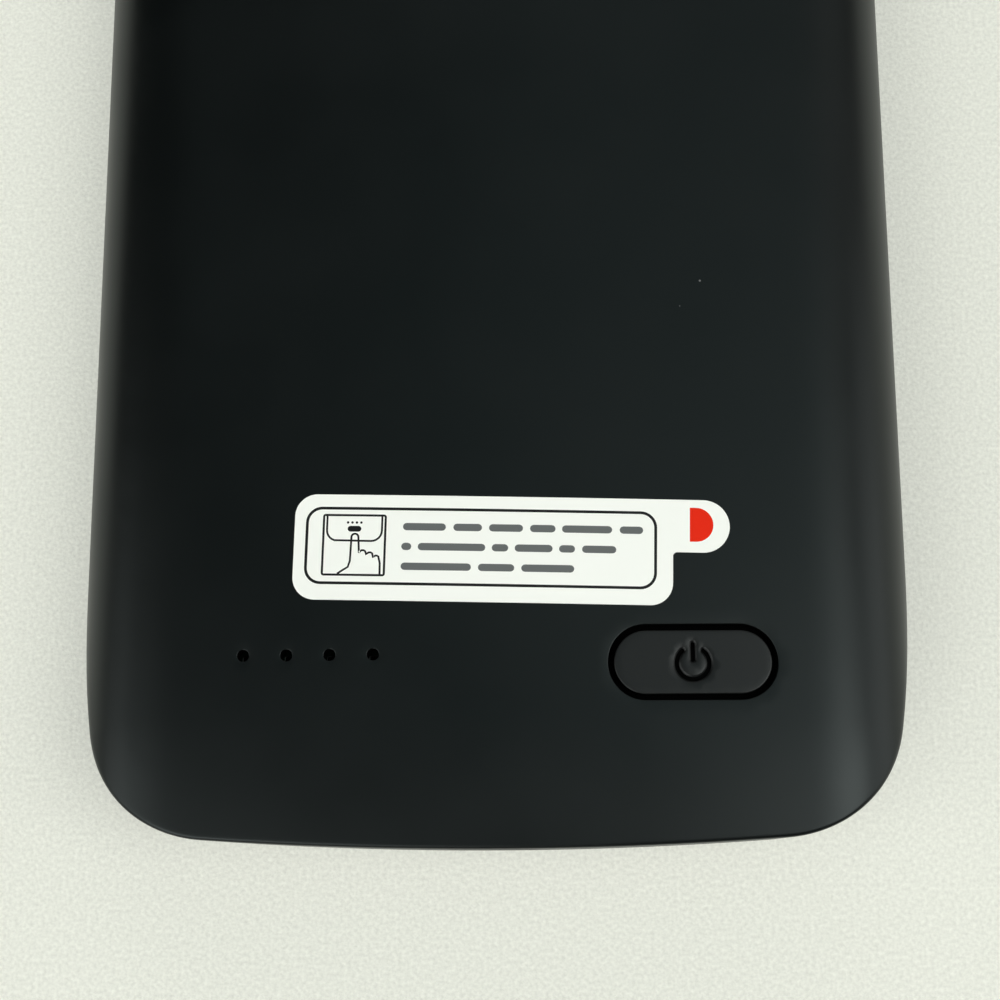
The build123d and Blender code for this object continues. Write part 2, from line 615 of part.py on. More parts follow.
def make_status_lights():
    """The row of light chips on the main board."""
    size = LIGHT_CHIP_LENGTH, LIGHT_CHIP_WIDTH, LIGHT_CHIP_HEIGHT
    return Compound(children=[box_on(x, y, BOARD_TOP_Z, *size) for x, y in light_places()])


def make_light_gasket():
    """Dark gasket between the board and the back, with one pocket for each light."""
    length = LIGHT_PITCH * (LIGHT_COUNT - 1) + 2 * GASKET_MARGIN
    y = from_end(LIGHT_FROM_END)
    height = CEILING_Z - SEAT_GAP - BOARD_TOP_Z
    gasket = box_on(LIGHT_ROW_X, y, BOARD_TOP_Z, length, GASKET_WIDTH, height)
    for x, y in light_places():
        gasket -= box_on(x, y, BOARD_TOP_Z - OVERCUT, GASKET_POCKET_LENGTH, GASKET_POCKET_WIDTH, BACK_Z)
    return gasket


def make_socket_shell():
    """Metal shell of the charging socket, with legs that stand on the board."""
    low_y = from_end(SOCKET_RECESS)
    high_y = low_y + SOCKET_LENGTH
    shell = end_slot(SOCKET_WIDTH, SOCKET_HEIGHT, SOCKET_Z, low_y, high_y)
    hollow = SOCKET_WIDTH - 2 * SOCKET_WALL, SOCKET_HEIGHT - 2 * SOCKET_WALL
    inner_x = SOCKET_WIDTH / 2 - SOCKET_WALL
    leg = SOCKET_WALL + FIT_GAP + SOCKET_LEG_WIDTH
    for side in (-1, 1):
        for y in (low_y + SOCKET_LEG_SETBACK, low_y + SOCKET_LEG_SETBACK + SOCKET_LEG_PITCH):
            x = side * (inner_x + leg / 2)
            shell += box_on(x, y, BOARD_TOP_Z, leg, SOCKET_LEG_LENGTH, SOCKET_WALL)
    return shell - end_slot(*hollow, SOCKET_Z, low_y - OVERCUT, high_y + OVERCUT)


def tongue_stations():
    """Stations of the socket tongue's tip, its root and the rear of its block."""
    rear = from_end(SOCKET_RECESS + SOCKET_LENGTH)
    return from_end(SOCKET_RECESS + SOCKET_TONGUE_SETBACK), rear - SOCKET_BLOCK_LENGTH, rear


def make_socket_tongue():
    """Insulating block of the charging socket, with the tongue that carries the contacts."""
    tip, root, rear = tongue_stations()
    inset = 2 * (SOCKET_WALL + SEAT_GAP)
    height = SOCKET_HEIGHT - inset
    low = SOCKET_Z - height / 2
    block = box_on(0, (root + rear) / 2, low, SOCKET_WIDTH - inset, rear - root, height)
    block = chamfer(block.edges().filter_by(Axis.Y), SOCKET_BLOCK_CUT)
    low = SOCKET_Z - SOCKET_TONGUE_THICKNESS / 2
    return block + box_on(0, (tip + rear) / 2, low, SOCKET_TONGUE_WIDTH, rear - tip, SOCKET_TONGUE_THICKNESS)


def make_socket_contacts():
    """Contact strips on both faces of the socket's tongue."""
    tip, root, rear = tongue_stations()
    half = SOCKET_TONGUE_THICKNESS / 2
    strips = []
    for n in range(CONTACT_COUNT):
        x = CONTACT_PITCH * (n - (CONTACT_COUNT - 1) / 2)
        for low in (SOCKET_Z + half, SOCKET_Z - half - CONTACT_THICKNESS):
            y = root - CONTACT_LENGTH / 2
            strips.append(box_on(x, y, low, CONTACT_WIDTH, CONTACT_LENGTH, CONTACT_THICKNESS))
    return Compound(children=strips)


def make_plug_shell():
    """Metal shell of the plug that stands in the dock wall."""
    tip, tail, front, rear = plug_stations()
    hollow = PLUG_WIDTH - 2 * PLUG_WALL, PLUG_HEIGHT - 2 * PLUG_WALL
    shell = end_slot(PLUG_WIDTH, PLUG_HEIGHT, PLUG_Z, tail, tip)
    return shell - end_slot(*hollow, PLUG_Z, tail - OVERCUT, tip + OVERCUT)


def make_plug_insert():
    """Insulating insert of the plug, slotted for the phone's tongue."""
    tip, tail, front, rear = plug_stations()
    inset = 2 * (PLUG_WALL + SEAT_GAP)
    insert = end_slot(PLUG_WIDTH - inset, PLUG_HEIGHT - inset, PLUG_Z, tail, tip - FIT_GAP)
    slot_low = PLUG_Z - PLUG_SLOT_HEIGHT / 2
    size = PLUG_SLOT_WIDTH, PLUG_SLOT_DEPTH + OVERCUT, PLUG_SLOT_HEIGHT
    return insert - box_on(0, tip - FIT_GAP - PLUG_SLOT_DEPTH + size[1] / 2, slot_low, *size)


def make_plug_base():
    """Moulded base that carries the plug, standing on the chin's cover behind the dock wall."""
    tip, tail, front, rear = plug_stations()
    height = PLUG_Z + PLUG_BASE_HEIGHT / 2 - DOCK_FLOOR_Z
    base = box_on(0, (front + rear) / 2, DOCK_FLOOR_Z, PLUG_BASE_WIDTH, PLUG_BASE_LENGTH, height)
    hole = PLUG_WIDTH + 2 * SEAT_GAP, PLUG_HEIGHT + 2 * SEAT_GAP
    return base - end_slot(*hole, PLUG_Z, tail - SEAT_GAP, front + OVERCUT)


def make_plug_board():
    """Small board behind the plug's base, on two ribs of the tray."""
    tip, tail, front, rear = plug_stations()
    low = PLUG_Z - PLUG_BOARD_THICKNESS / 2
    size = PLUG_BOARD_WIDTH, PLUG_BOARD_LENGTH, PLUG_BOARD_THICKNESS
    return box_on(0, rear - PLUG_BOARD_LENGTH / 2, low, *size)


def make_plug_ribbon():
    """Flat ribbon that bends up from the plug's board to the underside of the main board."""
    tip, tail, front, rear = plug_stations()
    low_z = PLUG_Z + (PLUG_BOARD_THICKNESS + RIBBON_THICKNESS) / 2
    high_z = BOARD_Z - RIBBON_THICKNESS / 2
    bend_x = PLUG_BOARD_WIDTH / 2
    reach = RIBBON_FOOT + RIBBON_BEND_RADIUS
    points = (bend_x - reach, low_z), (bend_x, low_z), (bend_x, high_z), (bend_x + reach, high_z)
    face = trace(FilletPolyline(*points, radius=RIBBON_BEND_RADIUS), RIBBON_THICKNESS)
    low_y = rear - PLUG_BOARD_LENGTH / 2 - RIBBON_WIDTH / 2
    return extrude(Pos(0, low_y, 0) * (Plane.XZ * face), amount=RIBBON_WIDTH, dir=(0, 1, 0))


def make_battery_cell():
    """Flat pouch cell with rounded long edges and a thin terrace at its chin end."""
    cell = box_on(0, cell_middle_y(), CELL_Z, CELL_WIDTH, CELL_LENGTH, CELL_THICKNESS)
    cell = fillet(cell.edges().filter_by(Axis.Y), CELL_EDGE_RADIUS)
    y = from_end(CELL_FROM_END) - TERRACE_LENGTH / 2
    width = CELL_WIDTH - 4 * CELL_EDGE_RADIUS
    return cell + box_on(0, y, CELL_Z + TERRACE_LIFT, width, TERRACE_LENGTH, TERRACE_THICKNESS)


def make_cell_tape():
    """The two strips of tape that hold the cell to the tray."""
    size = CELL_WIDTH - 2 * CELL_RIB_SETBACK, TAPE_WIDTH, TAPE_THICKNESS
    places = [cell_middle_y() + side * CELL_LENGTH / 4 for side in (-1, 1)]
    return Compound(children=[box_on(0, y, TRAY_TOP_Z, *size) for y in places])


def make_guard_board():
    """Guard board that lies on the cell's terrace."""
    y = from_end(CELL_FROM_END) - TERRACE_LENGTH / 2
    size = GUARD_BOARD_WIDTH, GUARD_BOARD_LENGTH, GUARD_BOARD_THICKNESS
    return box_on(0, y, TERRACE_TOP_Z, *size)


def make_cell_tabs():
    """The cell's two metal tabs, lying on the guard board."""
    length = (TERRACE_LENGTH + GUARD_BOARD_LENGTH / 2) / 2
    y = from_end(CELL_FROM_END) - length / 2
    places = [side * TAB_SPACING / 2 for side in (-1, 1)]
    return Compound(children=[box_on(x, y, GUARD_TOP_Z, TAB_WIDTH, length, TAB_THICKNESS) for x in places])


def make_cell_lead(side):
    """One of the cell's short leads, laid from the guard board to the main board."""
    x = LEAD_X + side * LEAD_SPACING / 2
    rise = LEAD_DIAMETER / 2 + SEAT_GAP
    start = (x, from_end(CELL_FROM_END) - TERRACE_LENGTH / 2, GUARD_TOP_Z + rise)
    finish = (x, from_end(BOARD_FROM_END) - LEAD_REACH, BOARD_TOP_Z + rise)
    route = Line(start, finish)
    return sweep(Plane(origin=route @ 0, z_dir=route % 0) * Circle(LEAD_DIAMETER / 2), path=route)


def make_storage_coil():
    """Square storage coil on the main board, with cut corners."""
    y = from_end(COIL_FROM_END)
    coil = box_on(COIL_X, y, BOARD_TOP_Z, COIL_SIZE, COIL_SIZE, COIL_HEIGHT)
    return chamfer(coil.edges().filter_by(Axis.Z), COIL_CORNER_CUT)


def make_control_chips():
    """The chips on the main board."""
    chips = []
    for x, distance, length, width, height in CHIPS.values():
        chips.append(box_on(x, from_end(distance), BOARD_TOP_Z, length, width, height))
    return Compound(children=chips)


def make_capacitors():
    """A row of capacitors along the inner edge of the main board."""
    size = CAPACITOR_LENGTH, CAPACITOR_WIDTH, CAPACITOR_HEIGHT
    first = CAPACITOR_ROW_X - CAPACITOR_PITCH * (CAPACITOR_COUNT - 1) / 2
    places = [first + CAPACITOR_PITCH * n for n in range(CAPACITOR_COUNT)]
    y = from_end(CAPACITOR_FROM_END)
    return Compound(children=[box_on(x, y, BOARD_TOP_Z, *size) for x in places])


def make_sticker():
    """Peel-off sticker, lying on the crown of the back."""
    label = prism(sticker_face(), BOARD_TOP_Z, BACK_Z + OVERCUT)
    return label & back_form(-STICKER_THICKNESS) - back_form(0)


PARTS = {
    "back_shell": make_back_shell,
    "inner_tray": make_inner_tray,
    "bumper": make_bumper,
    "power_button": make_power_button,
    "switch_body": make_switch_body,
    "switch_plunger": make_switch_plunger,
    "main_board": make_main_board,
    "insulating_sheet": make_insulating_sheet,
    "board_screws": make_board_screws,
    "status_lights": make_status_lights,
    "light_gasket": make_light_gasket,
    "socket_shell": make_socket_shell,
    "socket_tongue": make_socket_tongue,
    "socket_contacts": make_socket_contacts,
    "plug_shell": make_plug_shell,
    "plug_insert": make_plug_insert,
    "plug_base": make_plug_base,
    "plug_board": make_plug_board,
    "plug_ribbon": make_plug_ribbon,
    "battery_cell": make_battery_cell,
    "cell_tape": make_cell_tape,
    "guard_board": make_guard_board,
    "cell_tabs": make_cell_tabs,
    "cell_lead_red": lambda: make_cell_lead(-1),
    "cell_lead_black": lambda: make_cell_lead(1),
    "storage_coil": make_storage_coil,
    "control_chips": make_control_chips,
    "capacitors": make_capacitors,
    "sticker": make_sticker,
}

os.makedirs("parts", exist_ok=True)
for name, make in PARTS.items():
    export_step(make(), f"parts/{name}.step")
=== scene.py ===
from math import atan2, cos, pi, radians, sin, sqrt, tan

import bmesh
import bpy
import numpy as np
from mathutils import Matrix, Vector
from mathutils.geometry import delaunay_2d_cdt


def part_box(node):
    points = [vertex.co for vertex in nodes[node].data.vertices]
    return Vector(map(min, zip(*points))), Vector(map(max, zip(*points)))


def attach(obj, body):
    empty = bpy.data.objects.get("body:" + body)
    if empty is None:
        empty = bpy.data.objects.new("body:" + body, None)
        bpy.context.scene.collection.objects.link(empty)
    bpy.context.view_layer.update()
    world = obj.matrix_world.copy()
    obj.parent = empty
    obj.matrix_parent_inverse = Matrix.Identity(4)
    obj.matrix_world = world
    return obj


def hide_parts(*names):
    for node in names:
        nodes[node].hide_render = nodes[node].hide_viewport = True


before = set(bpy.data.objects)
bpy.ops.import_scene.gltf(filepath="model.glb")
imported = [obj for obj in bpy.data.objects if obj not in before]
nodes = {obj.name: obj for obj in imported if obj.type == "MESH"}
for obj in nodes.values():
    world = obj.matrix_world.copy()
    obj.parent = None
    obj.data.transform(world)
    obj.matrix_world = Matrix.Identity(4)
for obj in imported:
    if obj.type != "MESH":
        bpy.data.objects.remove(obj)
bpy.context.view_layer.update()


# Inner tray: the phone's bed, the dock wall and the cover over the chin's wiring.
# It is one moulding in black plastic with a fine spark-eroded grain, and it is
# snapped into the bumper before anything else goes in.
def start_group(name, inputs, outputs):
    """An empty shader group with named numbers going in and coming out."""
    group = bpy.data.node_groups.new(name, "ShaderNodeTree")
    for label, start in inputs.items():
        socket = group.interface.new_socket(name=label, in_out="INPUT", socket_type="NodeSocketFloat")
        socket.default_value = start
    for label in outputs:
        group.interface.new_socket(name=label, in_out="OUTPUT", socket_type="NodeSocketFloat")
    return group, group.nodes.new("NodeGroupInput"), group.nodes.new("NodeGroupOutput")


def set_inputs(node, values):
    """Sets some of a node's inputs by their labels."""
    for label, value in values.items():
        node.inputs[label.replace("_", " ")].default_value = value


def add_node(tree, kind, group=None, **values):
    """A new node in a tree, with some of its inputs set."""
    node = tree.nodes.new(kind)
    if group:
        node.node_tree = group
    set_inputs(node, values)
    return node


def wire(tree, *links):
    """Links a tree's nodes: each link names a node and its output, then a node and its input."""
    for node, given, other, taken in links:
        tree.links.new(node.outputs[given], other.inputs[taken])


moulded_grain, grain_in, grain_out = start_group(
    "moulded_grain", {"Grains per metre": 9000.0, "Clouds per metre": 60.0}, ["Height", "Cloud"])
grain_place = add_node(moulded_grain, "ShaderNodeTexCoord")
for asked, given, detail in (("Grains per metre", "Height", 2.0), ("Clouds per metre", "Cloud", 3.0)):
    noise = add_node(moulded_grain, "ShaderNodeTexNoise", Detail=detail)
    wire(moulded_grain, (grain_place, "Object", noise, "Vector"),
         (grain_in, asked, noise, "Scale"),
         (noise, "Fac", grain_out, given))


def grained(name, deep, pale, rough, depth, grains=3000.0, clouds=60.0, **fixed):
    """A finish whose tone and roughness drift a little over the piece, with a fine grain."""
    material = bpy.data.materials.new(name)
    material.use_nodes = True
    tree = material.node_tree
    shader = tree.nodes["Principled BSDF"]
    set_inputs(shader, fixed)
    grain = add_node(tree, "ShaderNodeGroup", moulded_grain, Grains_per_metre=grains, Clouds_per_metre=clouds)
    grain.name = "grain"
    tone = add_node(tree, "ShaderNodeMix")
    tone.name = "tone"
    tone.data_type = "RGBA"
    tone.inputs[6].default_value = (*deep, 1.0)
    tone.inputs[7].default_value = (*pale, 1.0)
    gloss = add_node(tree, "ShaderNodeMapRange", From_Min=0.3, From_Max=0.7, To_Min=rough[0], To_Max=rough[1])
    bump = add_node(tree, "ShaderNodeBump", Strength=1.0, Distance=depth)
    wire(tree, (grain, "Cloud", tone, 0),
         (tone, 2, shader, "Base Color"),
         (grain, "Cloud", gloss, "Value"),
         (gloss, "Result", shader, "Roughness"),
         (grain, "Height", bump, "Height"),
         (bump, "Normal", shader, "Normal"))
    return material


def dress(material, *names):
    """Gives CAD nodes their finish."""
    for name in names:
        nodes[name].data.materials.clear()
        nodes[name].data.materials.append(material)


tray_black = grained(
    "tray_black", (0.009, 0.010, 0.010), (0.013, 0.014, 0.014),
    rough=(0.48, 0.56), grains=7000.0, depth=1.2e-5)
dress(tray_black, "inner_tray")


# Plug that feeds the phone: a drawn steel shell over a moulded insert, held in a
# moulded base and soldered to its own small board, with a flat ribbon to the main board.
plated_steel = grained(
    "plated_steel", (0.56, 0.56, 0.57), (0.66, 0.66, 0.66),
    rough=(0.2, 0.3), grains=5000.0, depth=2e-6, Metallic=1.0)
moulded_black = grained(
    "moulded_black", (0.008, 0.008, 0.009), (0.012, 0.012, 0.013),
    rough=(0.38, 0.46), grains=9000.0, depth=4e-6)
board_green = grained(
    "board_green", (0.012, 0.10, 0.05), (0.02, 0.15, 0.075), rough=(0.22, 0.32), grains=2500.0, depth=6e-6)
amber_film = grained(
    "amber_film", (0.42, 0.19, 0.03), (0.52, 0.25, 0.05), rough=(0.15, 0.25), grains=1500.0, depth=6e-6)
dress(plated_steel, "plug_shell")
dress(moulded_black, "plug_insert", "plug_base")
dress(board_green, "plug_board")
dress(amber_film, "plug_ribbon")


# Battery cell: a flat pouch of laminated foil, taped to the tray. Its tabs are welded
# to a guard board, and one red and one black lead go on to the main board.
pouch_foil = grained(
    "pouch_foil", (0.50, 0.51, 0.53), (0.62, 0.63, 0.65),
    rough=(0.32, 0.45), grains=600.0, depth=3e-5, clouds=120.0, Metallic=1.0)
tape_white = grained(
    "tape_white", (0.72, 0.72, 0.70), (0.80, 0.80, 0.78), rough=(0.5, 0.6), grains=4000.0, depth=5e-6)
lead_red = grained("lead_red", (0.38, 0.015, 0.012), (0.48, 0.022, 0.018), rough=(0.35, 0.42), depth=4e-6)
lead_black = grained(
    "lead_black", (0.010, 0.010, 0.010), (0.014, 0.014, 0.014), rough=(0.35, 0.42), depth=4e-6)
dress(pouch_foil, "battery_cell")
dress(tape_white, "cell_tape")
dress(plated_steel, "cell_tabs")
dress(board_green, "guard_board")
dress(lead_red, "cell_lead_red")
dress(lead_black, "cell_lead_black")


# Main board: green glass-fibre board over an insulating sheet, screwed to the back shell.
# It carries the coil, the control chips and a row of capacitors, each a tan ceramic block
# with a tinned end at both sides.
MM = 0.001
CAPACITOR_COUNT = 5
CAPACITOR_PITCH = 3.4 * MM
CAPACITOR_LENGTH = 2.0 * MM
TINNED_LENGTH = 0.35 * MM
TINNED_CORNER = 0.08 * MM
CERAMIC_WAIST = 0.05 * MM
CERAMIC_CORNER = 0.05 * MM

blocks = bpy.data.node_groups.new("row_of_blocks", "GeometryNodeTree")
for label, kind in (("Count", "Int"), ("Step", "Vector"), ("Rows", "Int"), ("Row step", "Vector"),
                    ("Length", "Float"), ("Width", "Float"), ("Height", "Float"), ("Corner", "Float"),
                    ("Finish", "Material")):
    blocks.interface.new_socket(name=label, in_out="INPUT", socket_type="NodeSocket" + kind)
blocks.interface.new_socket(name="Geometry", in_out="OUTPUT", socket_type="NodeSocketGeometry")
asked = add_node(blocks, "NodeGroupInput")
footprint = add_node(blocks, "GeometryNodeCurvePrimitiveQuadrilateral")
rounded = add_node(blocks, "GeometryNodeFilletCurve")
rounded.mode = "POLY"
rounded.inputs["Count"].default_value = 3
foot = add_node(blocks, "GeometryNodeFillCurve")
foot.mode = "NGONS"
body = add_node(blocks, "GeometryNodeExtrudeMesh")
under = add_node(blocks, "GeometryNodeFlipFaces")
block = add_node(blocks, "GeometryNodeJoinGeometry")
closed = add_node(blocks, "GeometryNodeMergeByDistance", Distance=1e-7)
along = add_node(blocks, "GeometryNodeMeshLine")
row = add_node(blocks, "GeometryNodeInstanceOnPoints")
beside = add_node(blocks, "GeometryNodeMeshLine")
rows = add_node(blocks, "GeometryNodeInstanceOnPoints")
real = add_node(blocks, "GeometryNodeRealizeInstances")
finished = add_node(blocks, "GeometryNodeSetMaterial")
laid = add_node(blocks, "NodeGroupOutput")
wire(blocks, (asked, "Length", footprint, "Width"),
     (asked, "Width", footprint, "Height"),
     (footprint, "Curve", rounded, "Curve"),
     (asked, "Corner", rounded, "Radius"),
     (rounded, "Curve", foot, "Curve"),
     (foot, "Mesh", body, "Mesh"),
     (asked, "Height", body, "Offset Scale"),
     (foot, "Mesh", under, "Mesh"),
     (body, "Mesh", block, "Geometry"),
     (under, "Mesh", block, "Geometry"),
     (block, "Geometry", closed, "Geometry"),
     (asked, "Count", along, "Count"),
     (asked, "Step", along, "Offset"),
     (along, "Mesh", row, "Points"),
     (closed, "Geometry", row, "Instance"),
     (asked, "Rows", beside, "Count"),
     (asked, "Row step", beside, "Offset"),
     (beside, "Mesh", rows, "Points"),
     (row, "Instances", rows, "Instance"),
     (rows, "Instances", real, "Geometry"),
     (real, "Geometry", finished, "Geometry"),
     (asked, "Finish", finished, "Material"),
     (finished, "Geometry", laid, "Geometry"))


def new_piece(name, data):
    """A new object in the scene, at the origin."""
    piece = bpy.data.objects.new(name, data)
    bpy.context.scene.collection.objects.link(piece)
    return piece


def lay_row(name, finish, first, count, step, size, corner, rows=1, row_step=(0.0, 0.0, 0.0)):
    """Rows of small blocks with round corners; first is the middle of the first one's foot."""
    piece = new_piece(name, bpy.data.meshes.new(name + "_start"))
    values = {"Count": count, "Step": (step, 0.0, 0.0), "Rows": rows, "Row step": row_step, "Length": size[0],
              "Width": size[1], "Height": size[2], "Corner": corner, "Finish": finish}
    modifier = piece.modifiers.new("row", "NODES")
    modifier.node_group = blocks
    for socket in blocks.interface.items_tree:
        if socket.in_out == "INPUT":
            modifier[socket.identifier] = values[socket.name]
    mesh = bpy.data.meshes.new_from_object(piece.evaluated_get(bpy.context.evaluated_depsgraph_get()))
    piece.modifiers.remove(modifier)
    mesh.name = name
    mesh.transform(Matrix.Translation(first))
    shape = bmesh.new()
    shape.from_mesh(mesh)
    bmesh.ops.recalc_face_normals(shape, faces=shape.faces)
    shape.to_mesh(mesh)
    shape.free()
    piece.data = mesh
    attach(piece, "case")
    return piece


coil_ferrite = grained(
    "coil_ferrite", (0.035, 0.035, 0.037), (0.055, 0.055, 0.058),
    rough=(0.5, 0.62), grains=4000.0, depth=1e-5)
capacitor_tan = grained(
    "capacitor_tan", (0.36, 0.23, 0.12), (0.44, 0.30, 0.17), rough=(0.3, 0.4), grains=4000.0, depth=4e-6)
dress(board_green, "main_board")
dress(amber_film, "insulating_sheet")
dress(plated_steel, "board_screws")
dress(coil_ferrite, "storage_coil")
dress(moulded_black, "control_chips")
low, high = map(Vector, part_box("capacitors"))
wide, tall = high.y - low.y, high.z - low.z
middle_y = (low.y + high.y) / 2
ceramic_length = CAPACITOR_LENGTH - TINNED_LENGTH
ceramics = lay_row("capacitor_blocks", capacitor_tan, (low.x + CAPACITOR_LENGTH / 2, middle_y, low.z),
                   CAPACITOR_COUNT, CAPACITOR_PITCH,
                   (ceramic_length, wide - 2 * CERAMIC_WAIST, tall - CERAMIC_WAIST), CERAMIC_CORNER)
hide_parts("capacitors")
tinned = lay_row("capacitor_ends", plated_steel, (low.x + TINNED_LENGTH / 2, middle_y, low.z),
                 CAPACITOR_COUNT, CAPACITOR_PITCH, (TINNED_LENGTH, wide, tall), TINNED_CORNER,
                 rows=2, row_step=(ceramic_length, 0.0, 0.0))


# Charging socket: a folded steel shell round a moulded tongue. Twelve gold-plated
# contacts lie side by side on each face of the tongue.
CONTACT_COUNT = 12
CONTACT_PITCH = 0.5 * MM
CONTACT_WIDTH = 0.25 * MM
CONTACT_THICKNESS = 0.06 * MM
CONTACT_CORNER = 0.1 * MM
gold_plate = grained(
    "gold_plate", (0.76, 0.50, 0.16), (0.86, 0.60, 0.24),
    rough=(0.15, 0.25), grains=6000.0, depth=2e-6, Metallic=1.0)
dress(plated_steel, "socket_shell")
dress(moulded_black, "socket_tongue")
low, high = map(Vector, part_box("socket_contacts"))
contacts = lay_row("socket_fingers", gold_plate, (low.x + CONTACT_WIDTH / 2, (low.y + high.y) / 2, low.z),
                   CONTACT_COUNT, CONTACT_PITCH, (CONTACT_WIDTH, high.y - low.y, CONTACT_THICKNESS),
                   CONTACT_CORNER, rows=2, row_step=(0.0, 0.0, high.z - low.z - CONTACT_THICKNESS))
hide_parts("socket_contacts")


# Status lights and switch: four small lights in a dark gasket, each a pale moulded base
# with a near-black lens over it, painted shade that keeps the deep light holes black, and a
# tactile switch with a plunger under the power button.
LIGHT_COUNT = 4
LIGHT_PITCH = 4.05 * MM
BASE_CORNER = 0.06 * MM
LENS_HEIGHT = 0.2 * MM
LENS_MARGIN = 0.12 * MM
LENS_CORNER = 0.15 * MM
light_base = grained("light_base", (0.60, 0.62, 0.58), (0.70, 0.72, 0.68), rough=(0.3, 0.4), depth=3e-6)
# The lenses' near-black colour is painted shade: it keeps the deep light holes black.
light_lens = grained(
    "light_lens", (0.004, 0.005, 0.004), (0.007, 0.008, 0.007), rough=(0.10, 0.16), depth=2e-6)
gasket_rubber = grained(
    "gasket_rubber", (0.005, 0.005, 0.0055), (0.008, 0.008, 0.0085),
    rough=(0.7, 0.8), grains=5000.0, depth=1e-5)
low, high = map(Vector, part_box("status_lights"))
long, wide = high.x - low.x - (LIGHT_COUNT - 1) * LIGHT_PITCH, high.y - low.y
base_height = high.z - low.z - LENS_HEIGHT
foot_of_first = Vector((low.x + long / 2, (low.y + high.y) / 2, low.z))
bases = lay_row("light_bases", light_base, foot_of_first, LIGHT_COUNT, LIGHT_PITCH,
                (long, wide, base_height), BASE_CORNER)
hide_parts("status_lights")
lenses = lay_row("light_lenses", light_lens, foot_of_first + Vector((0, 0, base_height)), LIGHT_COUNT,
                 LIGHT_PITCH, (long - 2 * LENS_MARGIN, wide - LENS_MARGIN, LENS_HEIGHT), LENS_CORNER)
dress(gasket_rubber, "light_gasket")
dress(moulded_black, "switch_body", "switch_plunger")


# Back shell: the hard cover, moulded in black plastic, sprayed outside with a soft-touch coat and snapped
# over the bumper's tongue. Its back is crowned across, rolls over into the sides and falls towards the chin's
# end. It has the camera window, the button's opening, four light holes and the charging socket's mouth.
HALF_WIDTH = 40.0
TOP_Y = 83.6
END_Y = -83.6
BOW_RADIUS = 390.0
CORNER_RADIUS = 12.6
EASE_RADIUS = 80.0
EASE_ANGLE = radians(11.5)
TOP_CORNER_RADIUS = 13.15
PART_Z = 8.0
PARTING_BEVEL = 0.2
SHELL_WALL = 1.2
BACK_Z = 16.9931
CEILING_Z = 15.15
CROWN_RADIUS = 700.0
CROWN_Z = BACK_Z - CROWN_RADIUS
SHOULDER_RADIUS = 9.0
SHOULDER_X = 31.3
SHOULDER_Z = CROWN_Z + sqrt((CROWN_RADIUS - SHOULDER_RADIUS) ** 2 - SHOULDER_X ** 2)
SHOULDER_START = SHOULDER_X * CROWN_RADIUS / (CROWN_RADIUS - SHOULDER_RADIUS)
SHOULDER_EASE = 3.0
SHOULDER_BEND = 1 / SHOULDER_RADIUS - 1 / CROWN_RADIUS
FALL_RADIUS = 90.0
FALL_LENGTH = 12.0
FALL_Y = END_Y + FALL_LENGTH
EDGE_ROUND = 0.4
BACK_INSETS = (0.7, 1.1, 1.6, 2.2, 2.9, 3.6, 4.3)
ROOM_INSETS = (3.5, 2.8, 2.2, 1.7, 1.4, SHELL_WALL)
TRAY_TOP_Z = 10.35
WINDOW_X = -15.0
WINDOW_Y = 57.6
WINDOW_WIDTH = 33.0
WINDOW_LENGTH = 37.0
WINDOW_CORNER = 8.0
WINDOW_TAPER = tan(radians(20.0))
WINDOW_ROUND = 0.5
COLLAR_WALL = 1.2
WINDOW_COLLAR = (BACK_Z - TRAY_TOP_Z) * WINDOW_TAPER + COLLAR_WALL
FIRST_FLARE = 2.0
BUTTON_X = 18.6
BUTTON_Y = -66.75
OPENING_LENGTH = 15.7
OPENING_WIDTH = 7.0
OPENING_ROUND = 0.1
LIGHT_ROW_X = -17.1
LIGHT_ROW_Y = -65.85
LIGHT_HOLE_RADIUS = 0.55
LIGHT_HOLE_ROUND = 0.08
SOCKET_Z = 11.4
MOUTH_WIDTH = 9.14
MOUTH_HEIGHT = 3.46
MOUTH_LIP = ((0.15, 0), (0.05, 0.04), (0, 0.15))
MOUTH_RUN = 9
# Kind of face that takes the bare black, which is also painted shade in the openings, gaps and grooves.
BARE_AND_SHADE = 1


def arc(x, y, radius, start, end, steps):
    """Points along an arc, last one left out, each with the direction that leads out of it."""
    turns = [start + (end - start) * k / steps for k in range(steps)]
    return [(x + radius * cos(a), y + radius * sin(a), cos(a), sin(a)) for a in turns]


def line(x0, y0, x1, y1, steps):
    """Points along a straight run, last one left out; out is to the right of the way it runs."""
    length = sqrt((x1 - x0) ** 2 + (y1 - y0) ** 2)
    out = ((y1 - y0) / length, (x0 - x1) / length)
    return [(x0 + (x1 - x0) * k / steps, y0 + (y1 - y0) * k / steps, *out) for k in range(steps)]


